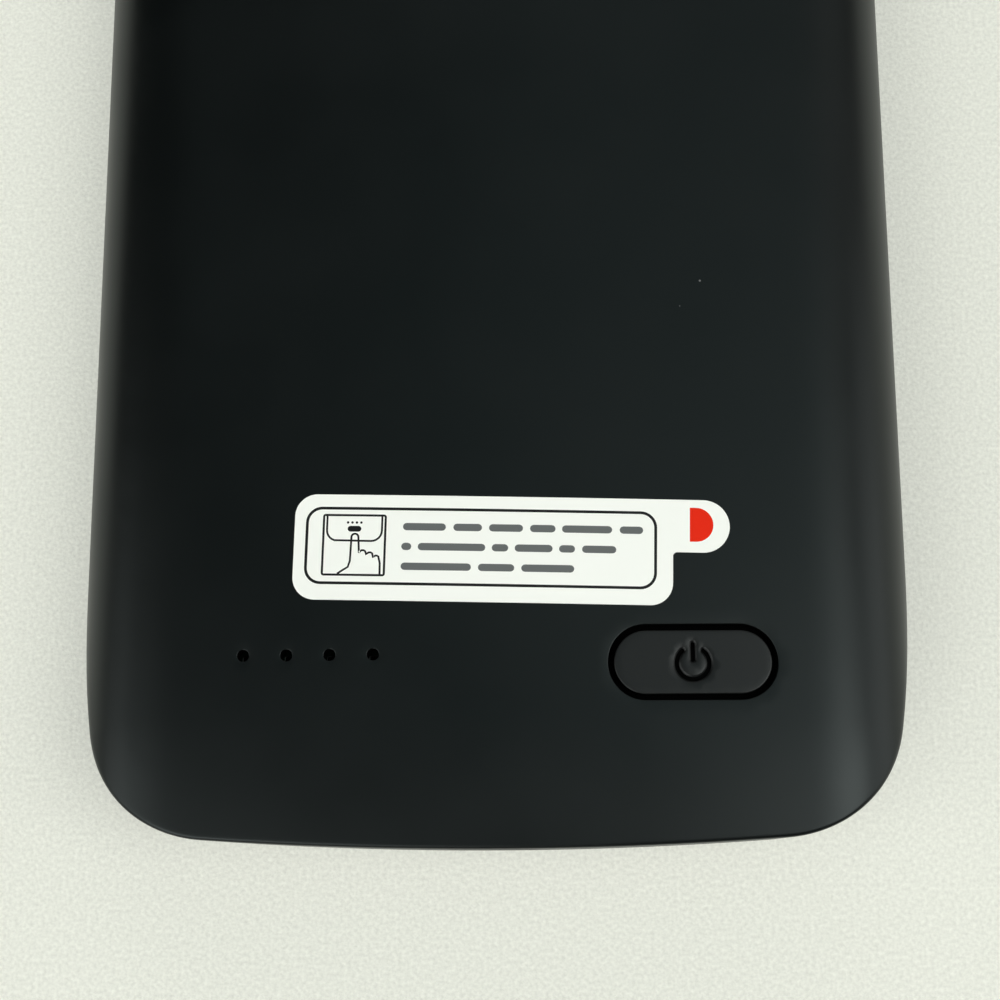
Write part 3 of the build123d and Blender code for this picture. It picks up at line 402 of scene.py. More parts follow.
def plan_outline():
    """The case's outline, anticlockwise from the middle of the chin's end."""
    corner_x = HALF_WIDTH - EASE_RADIUS + (EASE_RADIUS - CORNER_RADIUS) * cos(EASE_ANGLE)
    bow_y = END_Y + BOW_RADIUS
    corner_y = bow_y - sqrt((BOW_RADIUS - CORNER_RADIUS) ** 2 - corner_x ** 2)
    ease_y = corner_y + (EASE_RADIUS - CORNER_RADIUS) * sin(EASE_ANGLE)
    bow_angle = atan2(corner_y - bow_y, corner_x)
    top_x = HALF_WIDTH - TOP_CORNER_RADIUS
    top_y = TOP_Y - TOP_CORNER_RADIUS
    right = arc(0, bow_y, BOW_RADIUS, -pi / 2, bow_angle, steps=28)
    right += arc(corner_x, corner_y, CORNER_RADIUS, bow_angle, -EASE_ANGLE, steps=32)
    right += arc(HALF_WIDTH - EASE_RADIUS, ease_y, EASE_RADIUS, -EASE_ANGLE, 0, steps=8)
    right += line(HALF_WIDTH, ease_y, HALF_WIDTH, top_y, steps=90)
    right += arc(top_x, top_y, TOP_CORNER_RADIUS, 0, pi / 2, steps=32)
    right += line(top_x, TOP_Y, 0, TOP_Y, steps=18)
    left = [(-x, y, -u, v) for x, y, u, v in right[:0:-1]]
    return right + [(0, TOP_Y, 0, 1)] + left


def box_outline(x, y, width, length, radius, side_steps=12, corner_steps=10):
    """A rectangle with round corners, anticlockwise."""
    w, h = width / 2 - radius, length / 2 - radius
    return (line(x + w + radius, y - h, x + w + radius, y + h, side_steps)
            + arc(x + w, y + h, radius, 0, pi / 2, corner_steps)
            + line(x + w, y + h + radius, x - w, y + h + radius, side_steps)
            + arc(x - w, y + h, radius, pi / 2, pi, corner_steps)
            + line(x - w - radius, y + h, x - w - radius, y - h, side_steps)
            + arc(x - w, y - h, radius, pi, 1.5 * pi, corner_steps)
            + line(x - w, y - h - radius, x + w, y - h - radius, side_steps)
            + arc(x + w, y - h, radius, 1.5 * pi, 2 * pi, corner_steps))


def pill_outline(x, y, length, width, side_steps=14, end_steps=24):
    """A slot with round ends that lies along X, anticlockwise."""
    half, radius = (length - width) / 2, width / 2
    return (arc(x + half, y, radius, -pi / 2, pi / 2, end_steps)
            + line(x + half, y + radius, x - half, y + radius, side_steps)
            + arc(x - half, y, radius, pi / 2, 1.5 * pi, end_steps)
            + line(x - half, y - radius, x + half, y - radius, side_steps))


def crown(x, y):
    """Height of the back. Its bend grows evenly to the shoulder's, which summed twice gives the cubes."""
    across = abs(x)
    past = across - SHOULDER_START
    if past < 0:
        z = CROWN_Z + sqrt(CROWN_RADIUS ** 2 - x * x)
        eased = max(past + SHOULDER_EASE, 0) ** 3
    else:
        z = SHOULDER_Z + sqrt(max(SHOULDER_RADIUS ** 2 - (across - SHOULDER_X) ** 2, 0))
        eased = 2 * SHOULDER_EASE ** 3 - max(SHOULDER_EASE - past, 0) ** 3
    z -= SHOULDER_BEND * eased / (12 * SHOULDER_EASE)
    if y < FALL_Y:
        axis = BACK_Z - FALL_RADIUS
        z = axis + sqrt((z - axis) ** 2 - (FALL_Y - y) ** 2)
    return z


def onto(height):
    """Puts a spot of the plan on a surface."""
    return lambda x, y: Vector((x, y, height(x, y)))


def ceiling(x, y):
    """Height of the room inside the shell."""
    radius = SHOULDER_RADIUS - SHELL_WALL
    across = max(abs(x) - SHOULDER_X, 0)
    return CEILING_Z - radius + sqrt(radius ** 2 - across ** 2)


def ring_at(outline, offset, height):
    """The outline moved out by an offset, at a height or on a surface."""
    placed = [(x + u * offset, y + v * offset) for x, y, u, v in outline]
    return [Vector((x, y, height(x, y) if callable(height) else height)) for x, y in placed]


def curl(starts, corners, ends, steps):
    """Rings that round an edge off, from just after the first ring to the last one."""
    rings = []
    for step in range(1, steps + 1):
        t = step / steps
        rings.append([a * (1 - t) ** 2 + b * 2 * t * (1 - t) + c * t * t
                      for a, b, c in zip(starts, corners, ends)])
    return rings


def lowered(ring, drop):
    """A ring let straight down."""
    return [point - Vector((0, 0, drop)) for point in ring]


def within(spots, loop):
    """Which of the spots lie inside a closed loop."""
    hit = np.zeros(len(spots), bool)
    for (x0, y0), (x1, y1) in zip(loop, np.roll(loop, -1, axis=0)):
        if y0 != y1:
            across = (y0 > spots[:, 1]) != (y1 > spots[:, 1])
            hit ^= across & (spots[:, 0] < x0 + (spots[:, 1] - y0) * (x1 - x0) / (y1 - y0))
    return hit


def plan_of(point):
    return (point.x, point.y)


class Skin:
    """The points and faces of one piece, in millimetres, gathered until it is closed."""

    def __init__(self):
        self.points = []
        self.faces = []
        self.kinds = []

    def ring(self, points):
        first = len(self.points)
        self.points += points
        return list(range(first, len(self.points)))

    def face(self, corners, kind=0):
        self.faces.append(corners)
        self.kinds.append(kind)

    def join(self, rings, open_run=(), kind=0):
        """Walls between rings that follow each other; the steps in open_run are left open."""
        for low, high in zip(rings, rings[1:]):
            for k in range(len(low)):
                if k not in open_run:
                    after = (k + 1) % len(low)
                    self.face([low[k], low[after], high[after], high[k]], kind)

    def fill(self, rim, gaps=(), step=0, lift=None, flatten=plan_of, turned=False, kind=0,
             kind_at=None, lines=()):
        """A sheet inside a rim with gaps left out, with spare points every step on a grid."""
        loops = [rim] + list(gaps)
        known = [k for loop in loops for k in loop]
        flat, edges, shapes = [], [], []
        for loop in loops:
            first = len(flat)
            flat += [tuple(round(c, 4) for c in flatten(self.points[k])) for k in loop]
            edges += [(first + k, first + (k + 1) % len(loop)) for k in range(len(loop))]
            shapes.append(np.array(flat[first:]))

        def lay(spot):
            """A point of the sheet's own."""
            known.append(len(self.points))
            self.points.append(lift(*spot))

        for outline in lines:
            first = len(flat)
            for spot in outline:
                lay(spot)
                flat.append(tuple(spot))
            edges += [(first + k, first + (k + 1) % len(outline)) for k in range(len(outline))]
        if step:
            low, high = shapes[0].min(axis=0), shapes[0].max(axis=0)
            grid = np.stack(np.meshgrid(np.arange(low[0] + step / 2, high[0], step),
                                        np.arange(low[1] + step / 2, high[1], step)), axis=-1).reshape(-1, 2)
            grid = grid[within(grid, shapes[0])]
            for shape in shapes[1:]:
                grid = grid[~within(grid, shape)]
            near = np.array(flat)
            clear = [np.min(np.sum((near - spot) ** 2, axis=1)) > (0.6 * step) ** 2 for spot in grid]
            for spot in grid[np.array(clear, bool)]:
                lay(spot)
                flat.append(tuple(spot))
        corners = [Vector(spot) for spot in flat]
        made, _, triangles, source, _, _ = delaunay_2d_cdt(corners, edges, [], 0, 1e-6, True)
        spots = np.array([[p.x, p.y] for p in made])
        middles = np.array([spots[list(t)].mean(axis=0) for t in triangles])
        kept = within(middles, shapes[0])
        for shape in shapes[1:]:
            kept &= ~within(middles, shape)
        for k, spot in enumerate(spots):
            if not source[k]:
                source[k] = [len(known)]
                lay(spot)
        for triangle, middle, keep in zip(triangles, middles, kept):
            if keep:
                corners = [known[source[k][0]] for k in triangle]
                self.face(corners[::-1] if turned else corners, kind_at(*middle) if kind_at else kind)

    def make(self, name, materials, crease=40.0):
        """The finished piece, its place in its mesh."""
        mesh = bpy.data.meshes.new(name)
        mesh.from_pydata([p * MM for p in self.points], [], self.faces)
        for material in materials:
            mesh.materials.append(material)
        mesh.polygons.foreach_set("material_index", self.kinds)
        mesh.validate()
        mesh.shade_smooth()
        mesh.set_sharp_from_angle(angle=radians(crease))
        return new_piece(name, mesh)


def end_wall(inset):
    """Places on the chin's end wall, which is bowed across, from a place along it and a height."""
    def place(x, z, back=0):
        return Vector((x, END_Y + BOW_RADIUS - sqrt((BOW_RADIUS - inset) ** 2 - x * x) + back, z))
    return place


def end_view(point):
    return (point.x, point.z)


case_outline = plan_outline()
window_outline = box_outline(WINDOW_X, WINDOW_Y, WINDOW_WIDTH, WINDOW_LENGTH, WINDOW_CORNER)
opening_outline = pill_outline(BUTTON_X, BUTTON_Y, OPENING_LENGTH, OPENING_WIDTH)
light_xs = [LIGHT_ROW_X + LIGHT_PITCH / MM * (k - (LIGHT_COUNT - 1) / 2) for k in range(LIGHT_COUNT)]
light_outlines = [arc(x, LIGHT_ROW_Y, LIGHT_HOLE_RADIUS, 0, 2 * pi, steps=28) for x in light_xs]
mouth_outline = pill_outline(0.0, SOCKET_Z, MOUTH_WIDTH, MOUTH_HEIGHT, end_steps=14)

shell = Skin()
outer_edge = ring_at(case_outline, 0, crown)
wall_top = lowered(outer_edge, EDGE_ROUND)
edge_rings = curl(wall_top, outer_edge, ring_at(case_outline, -EDGE_ROUND, crown), 6)
skirt = [shell.ring(ring_at(case_outline, -PARTING_BEVEL, PART_Z)),
         shell.ring(ring_at(case_outline, 0, PART_Z + PARTING_BEVEL)),
         shell.ring(wall_top)]
around = len(case_outline)
mouth_posts = [k % around for k in range(-MOUTH_RUN, MOUTH_RUN + 1)]
mouth_steps = mouth_posts[:-1]
shell.join(skirt[:2])
shell.join(skirt[1:], mouth_steps)
back_rings = [skirt[2]] + [shell.ring(r) for r in edge_rings]
back_rings += [shell.ring(ring_at(case_outline, -inset, crown)) for inset in BACK_INSETS]
shell.join(back_rings)

holes = []
hole_feet = []
for outline, rounding in [(opening_outline, OPENING_ROUND)] + [(o, LIGHT_HOLE_ROUND) for o in light_outlines]:
    lip = ring_at(outline, 0, crown)
    start = ring_at(outline, rounding, crown)
    rings = [start] + curl(start, lip, lowered(lip, rounding), 4)
    rings = [shell.ring(r) for r in rings + [ring_at(outline, 0, ceiling)]]
    shell.join(rings[:-1])
    # Below its rounding the hole's wall takes the bare black: painted shade that darkens the opening.
    shell.join(rings[-2:], kind=BARE_AND_SHADE)
    holes.append(rings[0])
    hole_feet.append(rings[-1])

flares = []
for x, y, u, v in window_outline:
    flare = FIRST_FLARE
    for _ in range(4):
        flare = (crown(x + u * flare, y + v * flare) - TRAY_TOP_Z) * WINDOW_TAPER
    flares.append(flare)


def window_ring(shift, drop):
    """The window's rim on the back, moved out or let down along the taper."""
    rim = []
    for (x, y, u, v), flare in zip(window_outline, flares):
        reach = flare + shift - drop * WINDOW_TAPER
        px, py = x + u * reach, y + v * reach
        top = crown(px, py) if drop == 0 else crown(x + u * flare, y + v * flare) - drop
        rim.append(Vector((px, py, top)))
    return rim


window_rings = [window_ring(WINDOW_ROUND, 0)]
window_rings += curl(window_rings[0], window_ring(0, 0), window_ring(0, WINDOW_ROUND), 5)
window_rings += [ring_at(window_outline, 0, TRAY_TOP_Z), ring_at(window_outline, WINDOW_COLLAR, TRAY_TOP_Z),
                 ring_at(window_outline, WINDOW_COLLAR, ceiling)]
window_rings = [shell.ring(r) for r in window_rings]
shell.join(window_rings[:-2])
# The window's collar takes the bare black: painted shade inside the window.
shell.join(window_rings[-3:], kind=BARE_AND_SHADE)
holes.append(window_rings[0])
hole_feet.append(window_rings[-1])
shell.fill(back_rings[-1], holes, step=1.0, lift=onto(crown))

room_rings = [shell.ring(ring_at(case_outline, -inset, ceiling)) for inset in ROOM_INSETS]
room_rings.append(shell.ring(ring_at(case_outline, -SHELL_WALL, PART_Z)))
shell.join(room_rings[:-1], kind=BARE_AND_SHADE)
shell.join(room_rings[-2:], mouth_steps, BARE_AND_SHADE)
shell.join([room_rings[-1], skirt[0]], kind=BARE_AND_SHADE)
shell.fill(room_rings[0], hole_feet, step=3.0, lift=onto(ceiling), turned=True, kind=BARE_AND_SHADE)

outside, inside = end_wall(0), end_wall(SHELL_WALL)
mouth_rings = []
for wall, shift, back in [(outside, *lip_step) for lip_step in MOUTH_LIP] + [(inside, 0, 0)]:
    mouth_rings.append(shell.ring([wall(x + u * shift, z + v * shift, back) for x, z, u, v in mouth_outline]))
shell.join(mouth_rings[:-1])
shell.join(mouth_rings[-2:], kind=BARE_AND_SHADE)
for bottom, top, mouth, wall, turned, kind in (
        (skirt[1], skirt[2], mouth_rings[0], outside, False, 0),
        (room_rings[-1], room_rings[-2], mouth_rings[-1], inside, True, BARE_AND_SHADE)):
    panel = [bottom[k] for k in mouth_posts] + [top[k] for k in mouth_posts[::-1]]
    shell.fill(panel, [mouth], step=1.0, lift=wall, flatten=end_view, turned=turned, kind=kind)

DUST_TONE = (0.18, 0.18, 0.18)
DUST_SPECKS = 400.0
DUST_SHARE = 0.14
settled_dust, dust_in, dust_out = start_group(
    "settled_dust", {"Specks per metre": DUST_SPECKS, "Share": DUST_SHARE}, ["Mask"])
dust_place = add_node(settled_dust, "ShaderNodeTexCoord")
dust_cells = add_node(settled_dust, "ShaderNodeTexVoronoi")
dust_near = add_node(settled_dust, "ShaderNodeMapRange", From_Min=0.06, From_Max=0.03)
dust_pick = add_node(settled_dust, "ShaderNodeMath")
dust_pick.operation = "LESS_THAN"
dust_mask = add_node(settled_dust, "ShaderNodeMath")
dust_mask.operation = "MULTIPLY"
wire(settled_dust, (dust_place, "Object", dust_cells, "Vector"),
     (dust_in, "Specks per metre", dust_cells, "Scale"),
     (dust_cells, "Distance", dust_near, "Value"),
     (dust_cells, "Color", dust_pick, 0),
     (dust_in, "Share", dust_pick, 1),
     (dust_near, "Result", dust_mask, 0),
     (dust_pick, "Value", dust_mask, 1),
     (dust_mask, "Value", dust_out, "Mask"))


def add_dust(material):
    """Lays a few pale specks over a finish."""
    tree = material.node_tree
    dust = add_node(tree, "ShaderNodeGroup", settled_dust)
    over = add_node(tree, "ShaderNodeMix")
    over.data_type = "RGBA"
    over.inputs[7].default_value = (*DUST_TONE, 1.0)
    wire(tree, (dust, "Mask", over, 0),
         (tree.nodes["tone"], 2, over, 6),
         (over, 2, tree.nodes["Principled BSDF"], "Base Color"))


soft_touch = grained(
    "soft_touch_black", (0.0005, 0.0010, 0.0010), (0.0010, 0.0017, 0.0017),
    rough=(0.33, 0.39), grains=9000.0, depth=2e-6, Specular_IOR_Level=0.3,
    Specular_Tint=(0.88, 1.0, 1.0, 1.0))
add_dust(soft_touch)
# Bare black is the unsprayed moulding inside the shell, and it is also painted shade. The same near-black,
# barely reflecting finish lies on the walls of the openings and light holes, the window's collar, the inner
# wall of the socket's mouth, the button's gap walls and flange, and the floors of the power sign's grooves,
# so these read as black shade.
bare_and_shade_black = grained(
    "bare_and_shade_black", (0.0006, 0.0007, 0.0007), (0.0011, 0.0012, 0.0012),
    rough=(0.75, 0.85), grains=6000.0, depth=5e-6, Specular_IOR_Level=0.03)
back_cover = shell.make("back_cover", [soft_touch, bare_and_shade_black])
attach(back_cover, "case")
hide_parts("back_shell")


# Power button: a moulded cap that stands flush in its opening, with the power sign cut
# into its top. A flange under the shell keeps it in, and its stem rests on the switch.
BUTTON_SINK = 0.05
BUTTON_ROUND = 0.16
CAP_LENGTH = 14.6
CAP_WIDTH = 5.9
FLANGE_LENGTH = 17.3
FLANGE_WIDTH = 8.6
FLANGE_CORNER = 0.6
FLANGE_Z = 14.3
FLANGE_TOP_Z = 15.1
STEM_SIZE = 3.2
STEM_CORNER = 0.2
STEM_Z = 13.8
SIGN_Y = BUTTON_Y - 0.1
SIGN_RADIUS = 1.5
SIGN_STROKE = 0.66
SIGN_OPEN = radians(40.0)
SIGN_BAR_LOW = 0.3
SIGN_BAR_HIGH = 1.75
SIGN_LIP = 0.04
SIGN_SLOPE = 0.14
SIGN_DRAFT = 0.03
SIGN_DEPTH = 0.45


def cap_top(x, y):
    return crown(x, y) - BUTTON_SINK


def stroke_ring(x, y, radius, width, start, end):
    """Outline of a round stroke with round ends, anticlockwise."""
    half = width / 2
    ends = [(x + radius * cos(a), y + radius * sin(a)) for a in (start, end)]
    inner = arc(x, y, radius - half, end, start, steps=40)
    return (arc(x, y, radius + half, start, end, steps=48)
            + arc(*ends[1], half, end, end + pi, steps=10)
            + [(px, py, -u, -v) for px, py, u, v in inner]
            + arc(*ends[0], half, start + pi, start + 2 * pi, steps=10))


def stroke_bar(x, y0, y1, width):
    """Outline of an upright stroke with round ends, anticlockwise."""
    half = width / 2
    return (arc(x, y0, half, -pi, 0, steps=12) + line(x + half, y0, x + half, y1, steps=8)
            + arc(x, y1, half, 0, pi, steps=12) + line(x - half, y1, x - half, y0, steps=8))


button = Skin()
cap_outline = pill_outline(BUTTON_X, BUTTON_Y, CAP_LENGTH, CAP_WIDTH)
flange_outline = box_outline(BUTTON_X, BUTTON_Y, FLANGE_LENGTH, FLANGE_WIDTH, FLANGE_CORNER, corner_steps=4)
stem_outline = box_outline(BUTTON_X, BUTTON_Y, STEM_SIZE, STEM_SIZE, STEM_CORNER, side_steps=2,
                           corner_steps=3)
cap_edge = ring_at(cap_outline, 0, cap_top)
cap_wall = lowered(cap_edge, BUTTON_ROUND)
cap_rings = [ring_at(cap_outline, 0, FLANGE_TOP_Z), cap_wall]
cap_rings += curl(cap_wall, cap_edge, ring_at(cap_outline, -BUTTON_ROUND, cap_top), 5)
cap_rings = [button.ring(r) for r in cap_rings]
# The cap's side wall in the gap takes the bare black: painted shade that makes the gap black.
button.join(cap_rings[:2], kind=BARE_AND_SHADE)
button.join(cap_rings[1:])
flange_rings = [button.ring(ring_at(flange_outline, 0, z)) for z in (FLANGE_Z, FLANGE_TOP_Z)]
stem_rings = [button.ring(ring_at(stem_outline, 0, z)) for z in (STEM_Z, FLANGE_Z)]
button.join(flange_rings, kind=BARE_AND_SHADE)
button.join(stem_rings, kind=BARE_AND_SHADE)
button.fill(flange_rings[1], [cap_rings[0]], kind=BARE_AND_SHADE)
button.fill(flange_rings[0], [stem_rings[1]], turned=True, kind=BARE_AND_SHADE)
button.fill(stem_rings[0], turned=True, kind=BARE_AND_SHADE)
sign_ring = stroke_ring(BUTTON_X, SIGN_Y, SIGN_RADIUS, SIGN_STROKE, pi / 2 + SIGN_OPEN, 2.5 * pi - SIGN_OPEN)
sign_bar = stroke_bar(BUTTON_X, SIGN_Y + SIGN_BAR_LOW, SIGN_Y + SIGN_BAR_HIGH, SIGN_STROKE)
sign_rims = []
for outline in (sign_ring, sign_bar):
    start = ring_at(outline, SIGN_LIP, cap_top)
    lip = ring_at(outline, 0, cap_top)
    slope = ring_at(outline, -SIGN_SLOPE, lambda x, y: cap_top(x, y) - SIGN_SLOPE)
    rings = [start] + curl(start, lip, slope, 3)
    rings.append(ring_at(outline, -SIGN_SLOPE - SIGN_DRAFT, lambda x, y: cap_top(x, y) - SIGN_DEPTH))
    rings = [button.ring(r) for r in rings]
    button.join(rings[:-1])
    # The groove's draft walls and floor take the bare black: painted shade that darkens the power sign.
    button.join(rings[-2:], kind=BARE_AND_SHADE)
    button.fill(rings[-1], kind=BARE_AND_SHADE)
    sign_rims.append(rings[0])
button.fill(cap_rings[-1], sign_rims, step=0.5, lift=onto(cap_top))
button_black = grained(
    "button_black", (0.0036, 0.0041, 0.0041), (0.0050, 0.0056, 0.0056),
    rough=(0.36, 0.42), grains=9000.0, depth=3e-6, Specular_IOR_Level=0.3,
    Specular_Tint=(0.94, 1.0, 1.0, 1.0))
power_cap = button.make("power_cap", [button_black, bare_and_shade_black])
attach(power_cap, "power_button")
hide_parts("power_button")


# Soft bumper: the rubbery band round the case, with the lip that holds the phone in,
# a tongue that the shell snaps over, three raised key covers and two rows of sound slots.
SIDE_WALL = 2.0
SKIN_THICKNESS = 0.9
BED_Z = 9.35
TONGUE_INSET = 1.3
FRONT_ROUND = 1.4
POCKET_Y = 6.0
POCKET_WIDTH = 76.0
POCKET_LENGTH = 151.2
POCKET_CORNER = 11.15
LIP_OVERHANG = 1.7
LIP_ROUND = 0.4
KEYS_LOW_Y = 21.0
KEYS_Y = 37.6
KEYS_HIGH_Y = 54.0
VOLUME_KEY_LENGTH = 11.0
VOLUME_KEY_PITCH = 14.5
SIDE_KEY_LENGTH = 17.0
KEY_Z = 5.125
KEY_HEIGHT = 3.2
KEY_PROUD = 0.35
KEY_ROUND = 0.3
KEY_FOOT = 0.1
KEY_FOOT_RISE = 0.02
KEY_RECESS = 0.5
SLOT_REACH = 2
SLOT_PITCH = 2.4
SLOT_ROW_X = 20.0
SLOT_ROW_Y = -76.2
SLOT_WIDTH = 1.1
SLOT_LENGTH = 5.0
SLOT_CORNER = 0.3
SLOT_ROUND = 0.08

bumper = Skin()
lip_outline = box_outline(0.0, POCKET_Y, POCKET_WIDTH - 2 * LIP_OVERHANG, POCKET_LENGTH - 2 * LIP_OVERHANG,
                          POCKET_CORNER - LIP_OVERHANG, side_steps=60, corner_steps=24)
front_edge = ring_at(case_outline, -FRONT_ROUND, 0)
front_rings = curl(front_edge, ring_at(case_outline, 0, 0), ring_at(case_outline, 0, FRONT_ROUND), 7)
wall = len(front_rings)
band = [bumper.ring(r) for r in [front_edge] + front_rings]
band += [bumper.ring(ring_at(case_outline, -inset, z)) for inset, z in
         ((0, PART_Z - PARTING_BEVEL), (PARTING_BEVEL, PART_Z), (TONGUE_INSET, PART_Z), (TONGUE_INSET, BED_Z),
          (SIDE_WALL, BED_Z), (SIDE_WALL, SKIN_THICKNESS))]
keys_on = {1: [(KEYS_Y + side * VOLUME_KEY_PITCH / 2, VOLUME_KEY_LENGTH) for side in (1, -1)],
           -1: [(KEYS_Y, SIDE_KEY_LENGTH)]}
posts_on = {side: [k for k, (x, y, u, v) in enumerate(case_outline)
                   if u == side and KEYS_LOW_Y < y < KEYS_HIGH_Y] for side in keys_on}
open_steps = {k for posts in posts_on.values() for k in posts[:-1]}
for k, (low, high) in enumerate(zip(band, band[1:])):
    bumper.join([low, high], open_steps if k in (wall, len(band) - 2) else ())

for side, keys in keys_on.items():
    posts = posts_on[side]

    def side_view(point, side=side):
        return (side * point.y, point.z)

    def on_wall(inset, side=side):
        return lambda along, z: Vector((side * (HALF_WIDTH - inset), side * along, z))

    pads, pockets = [], []
    for y, length in keys:
        outline = pill_outline(side * y, KEY_Z, length, KEY_HEIGHT, end_steps=16)
        levels = [[on_wall(-rise)(a + u * shift, z + v * shift) for a, z, u, v in outline]
                  for shift, rise in ((KEY_FOOT, 0), (0, KEY_FOOT_RISE), (0, KEY_PROUD - KEY_ROUND / 2),
                                      (0, KEY_PROUD), (-KEY_ROUND, KEY_PROUD))]
        rings = [bumper.ring(r) for r in levels[:3] + curl(levels[2], levels[3], levels[4], 4)]
        bumper.join(rings)
        bumper.fill(rings[-1], step=1.0, lift=on_wall(-KEY_PROUD), flatten=side_view)
        pads.append(rings[0])
        hollow = [bumper.ring([on_wall(inset)(a, z) for a, z, u, v in outline])
                  for inset in (SIDE_WALL - KEY_RECESS, SIDE_WALL)]
        bumper.join(hollow)
        bumper.fill(hollow[0], flatten=side_view, turned=True)
        pockets.append(hollow[1])
    outer_face = [band[wall][k] for k in posts] + [band[wall + 1][k] for k in posts[::-1]]
    bumper.fill(outer_face, pads, step=1.2, lift=on_wall(0), flatten=side_view)
    inner_face = [band[-1][k] for k in posts] + [band[-2][k] for k in posts[::-1]]
    bumper.fill(inner_face, pockets, flatten=side_view, turned=True)

slot_xs = [side * SLOT_ROW_X + SLOT_PITCH * k for side in (-1, 1) for k in range(-SLOT_REACH, SLOT_REACH + 1)]
slot_rings = []
for x in slot_xs:
    outline = box_outline(x, SLOT_ROW_Y, SLOT_WIDTH, SLOT_LENGTH, SLOT_CORNER, side_steps=2, corner_steps=4)
    rings = [bumper.ring(ring_at(outline, 0, z)) for z in (SKIN_THICKNESS, SLOT_ROUND)]
    rings.append(bumper.ring(ring_at(outline, SLOT_ROUND, 0)))
    bumper.join(rings)
    slot_rings.append(rings)
lip_levels = [ring_at(lip_outline, 0, SKIN_THICKNESS), ring_at(lip_outline, 0, LIP_ROUND)]
lip_levels += curl(lip_levels[1], ring_at(lip_outline, 0, 0), ring_at(lip_outline, LIP_ROUND, 0), 4)
lip_rings = [bumper.ring(r) for r in lip_levels]
bumper.join(lip_rings)
bumper.fill(band[0], [lip_rings[-1]] + [r[-1] for r in slot_rings], turned=True)
bumper.fill(band[-1], [lip_rings[0]] + [r[0] for r in slot_rings])
bumper_black = grained(
    "bumper_black", (0.0040, 0.0044, 0.0045), (0.0055, 0.0060, 0.0061),
    rough=(0.45, 0.55), grains=8000.0, depth=6e-6, Specular_IOR_Level=0.4)
add_dust(bumper_black)
soft_bumper = bumper.make("soft_bumper", [bumper_black])
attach(soft_bumper, "case")
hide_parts("bumper")


# Sticker: a slip of smooth white paper with a pull tab, laid on the back by hand and so a
# little askew. It is printed in black, grey and red: a ruled frame, a small picture, bars and a half-disc.
STICKER_X = -0.8
STICKER_Y = -56.05
STICKER_TURN = radians(-1.5)
LABEL_WIDTH = 35.6
LABEL_HEIGHT = 10.05
LABEL_CORNER = 2.1
TAB_REACH = 5.3
TAB_HEIGHT = 5.0
NOTCH = 0.4
PAPER_THICKNESS = 0.1
PAPER_LIFT = 0.004
FRAME_X, FRAME_Y = -0.22, 0.14
FRAME_WIDTH, FRAME_HEIGHT = 33.05, 7.4
FRAME_CORNER, FRAME_STROKE = 1.55, 0.27
PICTURE_X, PICTURE_Y = -12.12, 0.2
PICTURE_WIDTH, PICTURE_HEIGHT = 6.05, 5.9
PICTURE_CORNER, PICTURE_STROKE = 0.25, 0.21
DRAWN_STROKE = 0.19
DOT_COUNT = 4
DOT_PITCH, DOT_RADIUS, DOT_Y = 0.42, 0.12, 2.35
KNOB_LENGTH, KNOB_HEIGHT, KNOB_Y = 1.3, 0.55, 1.75
BAR_HEIGHT = 0.7
DISC_X, DISC_Y, DISC_RADIUS = 19.95, 2.66, 1.62
DISC_FLAT_X = 19.36

half_w, half_h = LABEL_WIDTH / 2, LABEL_HEIGHT / 2
left_x, right_x = LABEL_CORNER - half_w, half_w - LABEL_CORNER
low_y, high_y = LABEL_CORNER - half_h, half_h - LABEL_CORNER
tab_low = half_h - TAB_HEIGHT
tab_x = half_w + TAB_REACH - TAB_HEIGHT / 2
notch_arc = arc(half_w + NOTCH, tab_low - NOTCH, NOTCH, pi, pi / 2, steps=6)
paper_outline = (
    arc(left_x, low_y, LABEL_CORNER, pi, 1.5 * pi, steps=12)
    + line(left_x, -half_h, right_x, -half_h, steps=20)
    + arc(right_x, low_y, LABEL_CORNER, 1.5 * pi, 2 * pi, steps=12)
    + line(half_w, low_y, half_w, tab_low - NOTCH, steps=4)
    + [(x, y, -u, -v) for x, y, u, v in notch_arc]
    + line(half_w + NOTCH, tab_low, tab_x, tab_low, steps=4)
    + arc(tab_x, half_h - TAB_HEIGHT / 2, TAB_HEIGHT / 2, -pi / 2, pi / 2, steps=24)
    + line(tab_x, half_h, left_x, half_h, steps=26)
    + arc(left_x, high_y, LABEL_CORNER, pi / 2, pi, steps=12)
    + line(-half_w, high_y, -half_w, low_y, steps=6))


def spots_of(outline):
    return [(x, y) for x, y, u, v in outline]


def framed(x, y, width, height, radius, stroke, steps=10):
    """A ruled frame: its outer and its inner outline."""
    outer = box_outline(x, y, width, height, radius, corner_steps=steps)
    return [spots_of(outer), [(px - u * stroke, py - v * stroke) for px, py, u, v in outer]]


def ruled(path, stroke):
    """Outline of a line drawn along a path."""
    path = [Vector(spot) for spot in path]
    sides = []
    for k, spot in enumerate(path):
        way = (path[min(k + 1, len(path) - 1)] - path[max(k - 1, 0)]).normalized()
        sides.append((spot, Vector((-way.y, way.x)) * stroke / 2))
    return [tuple(spot - out) for spot, out in sides] + [tuple(spot + out) for spot, out in sides[::-1]]


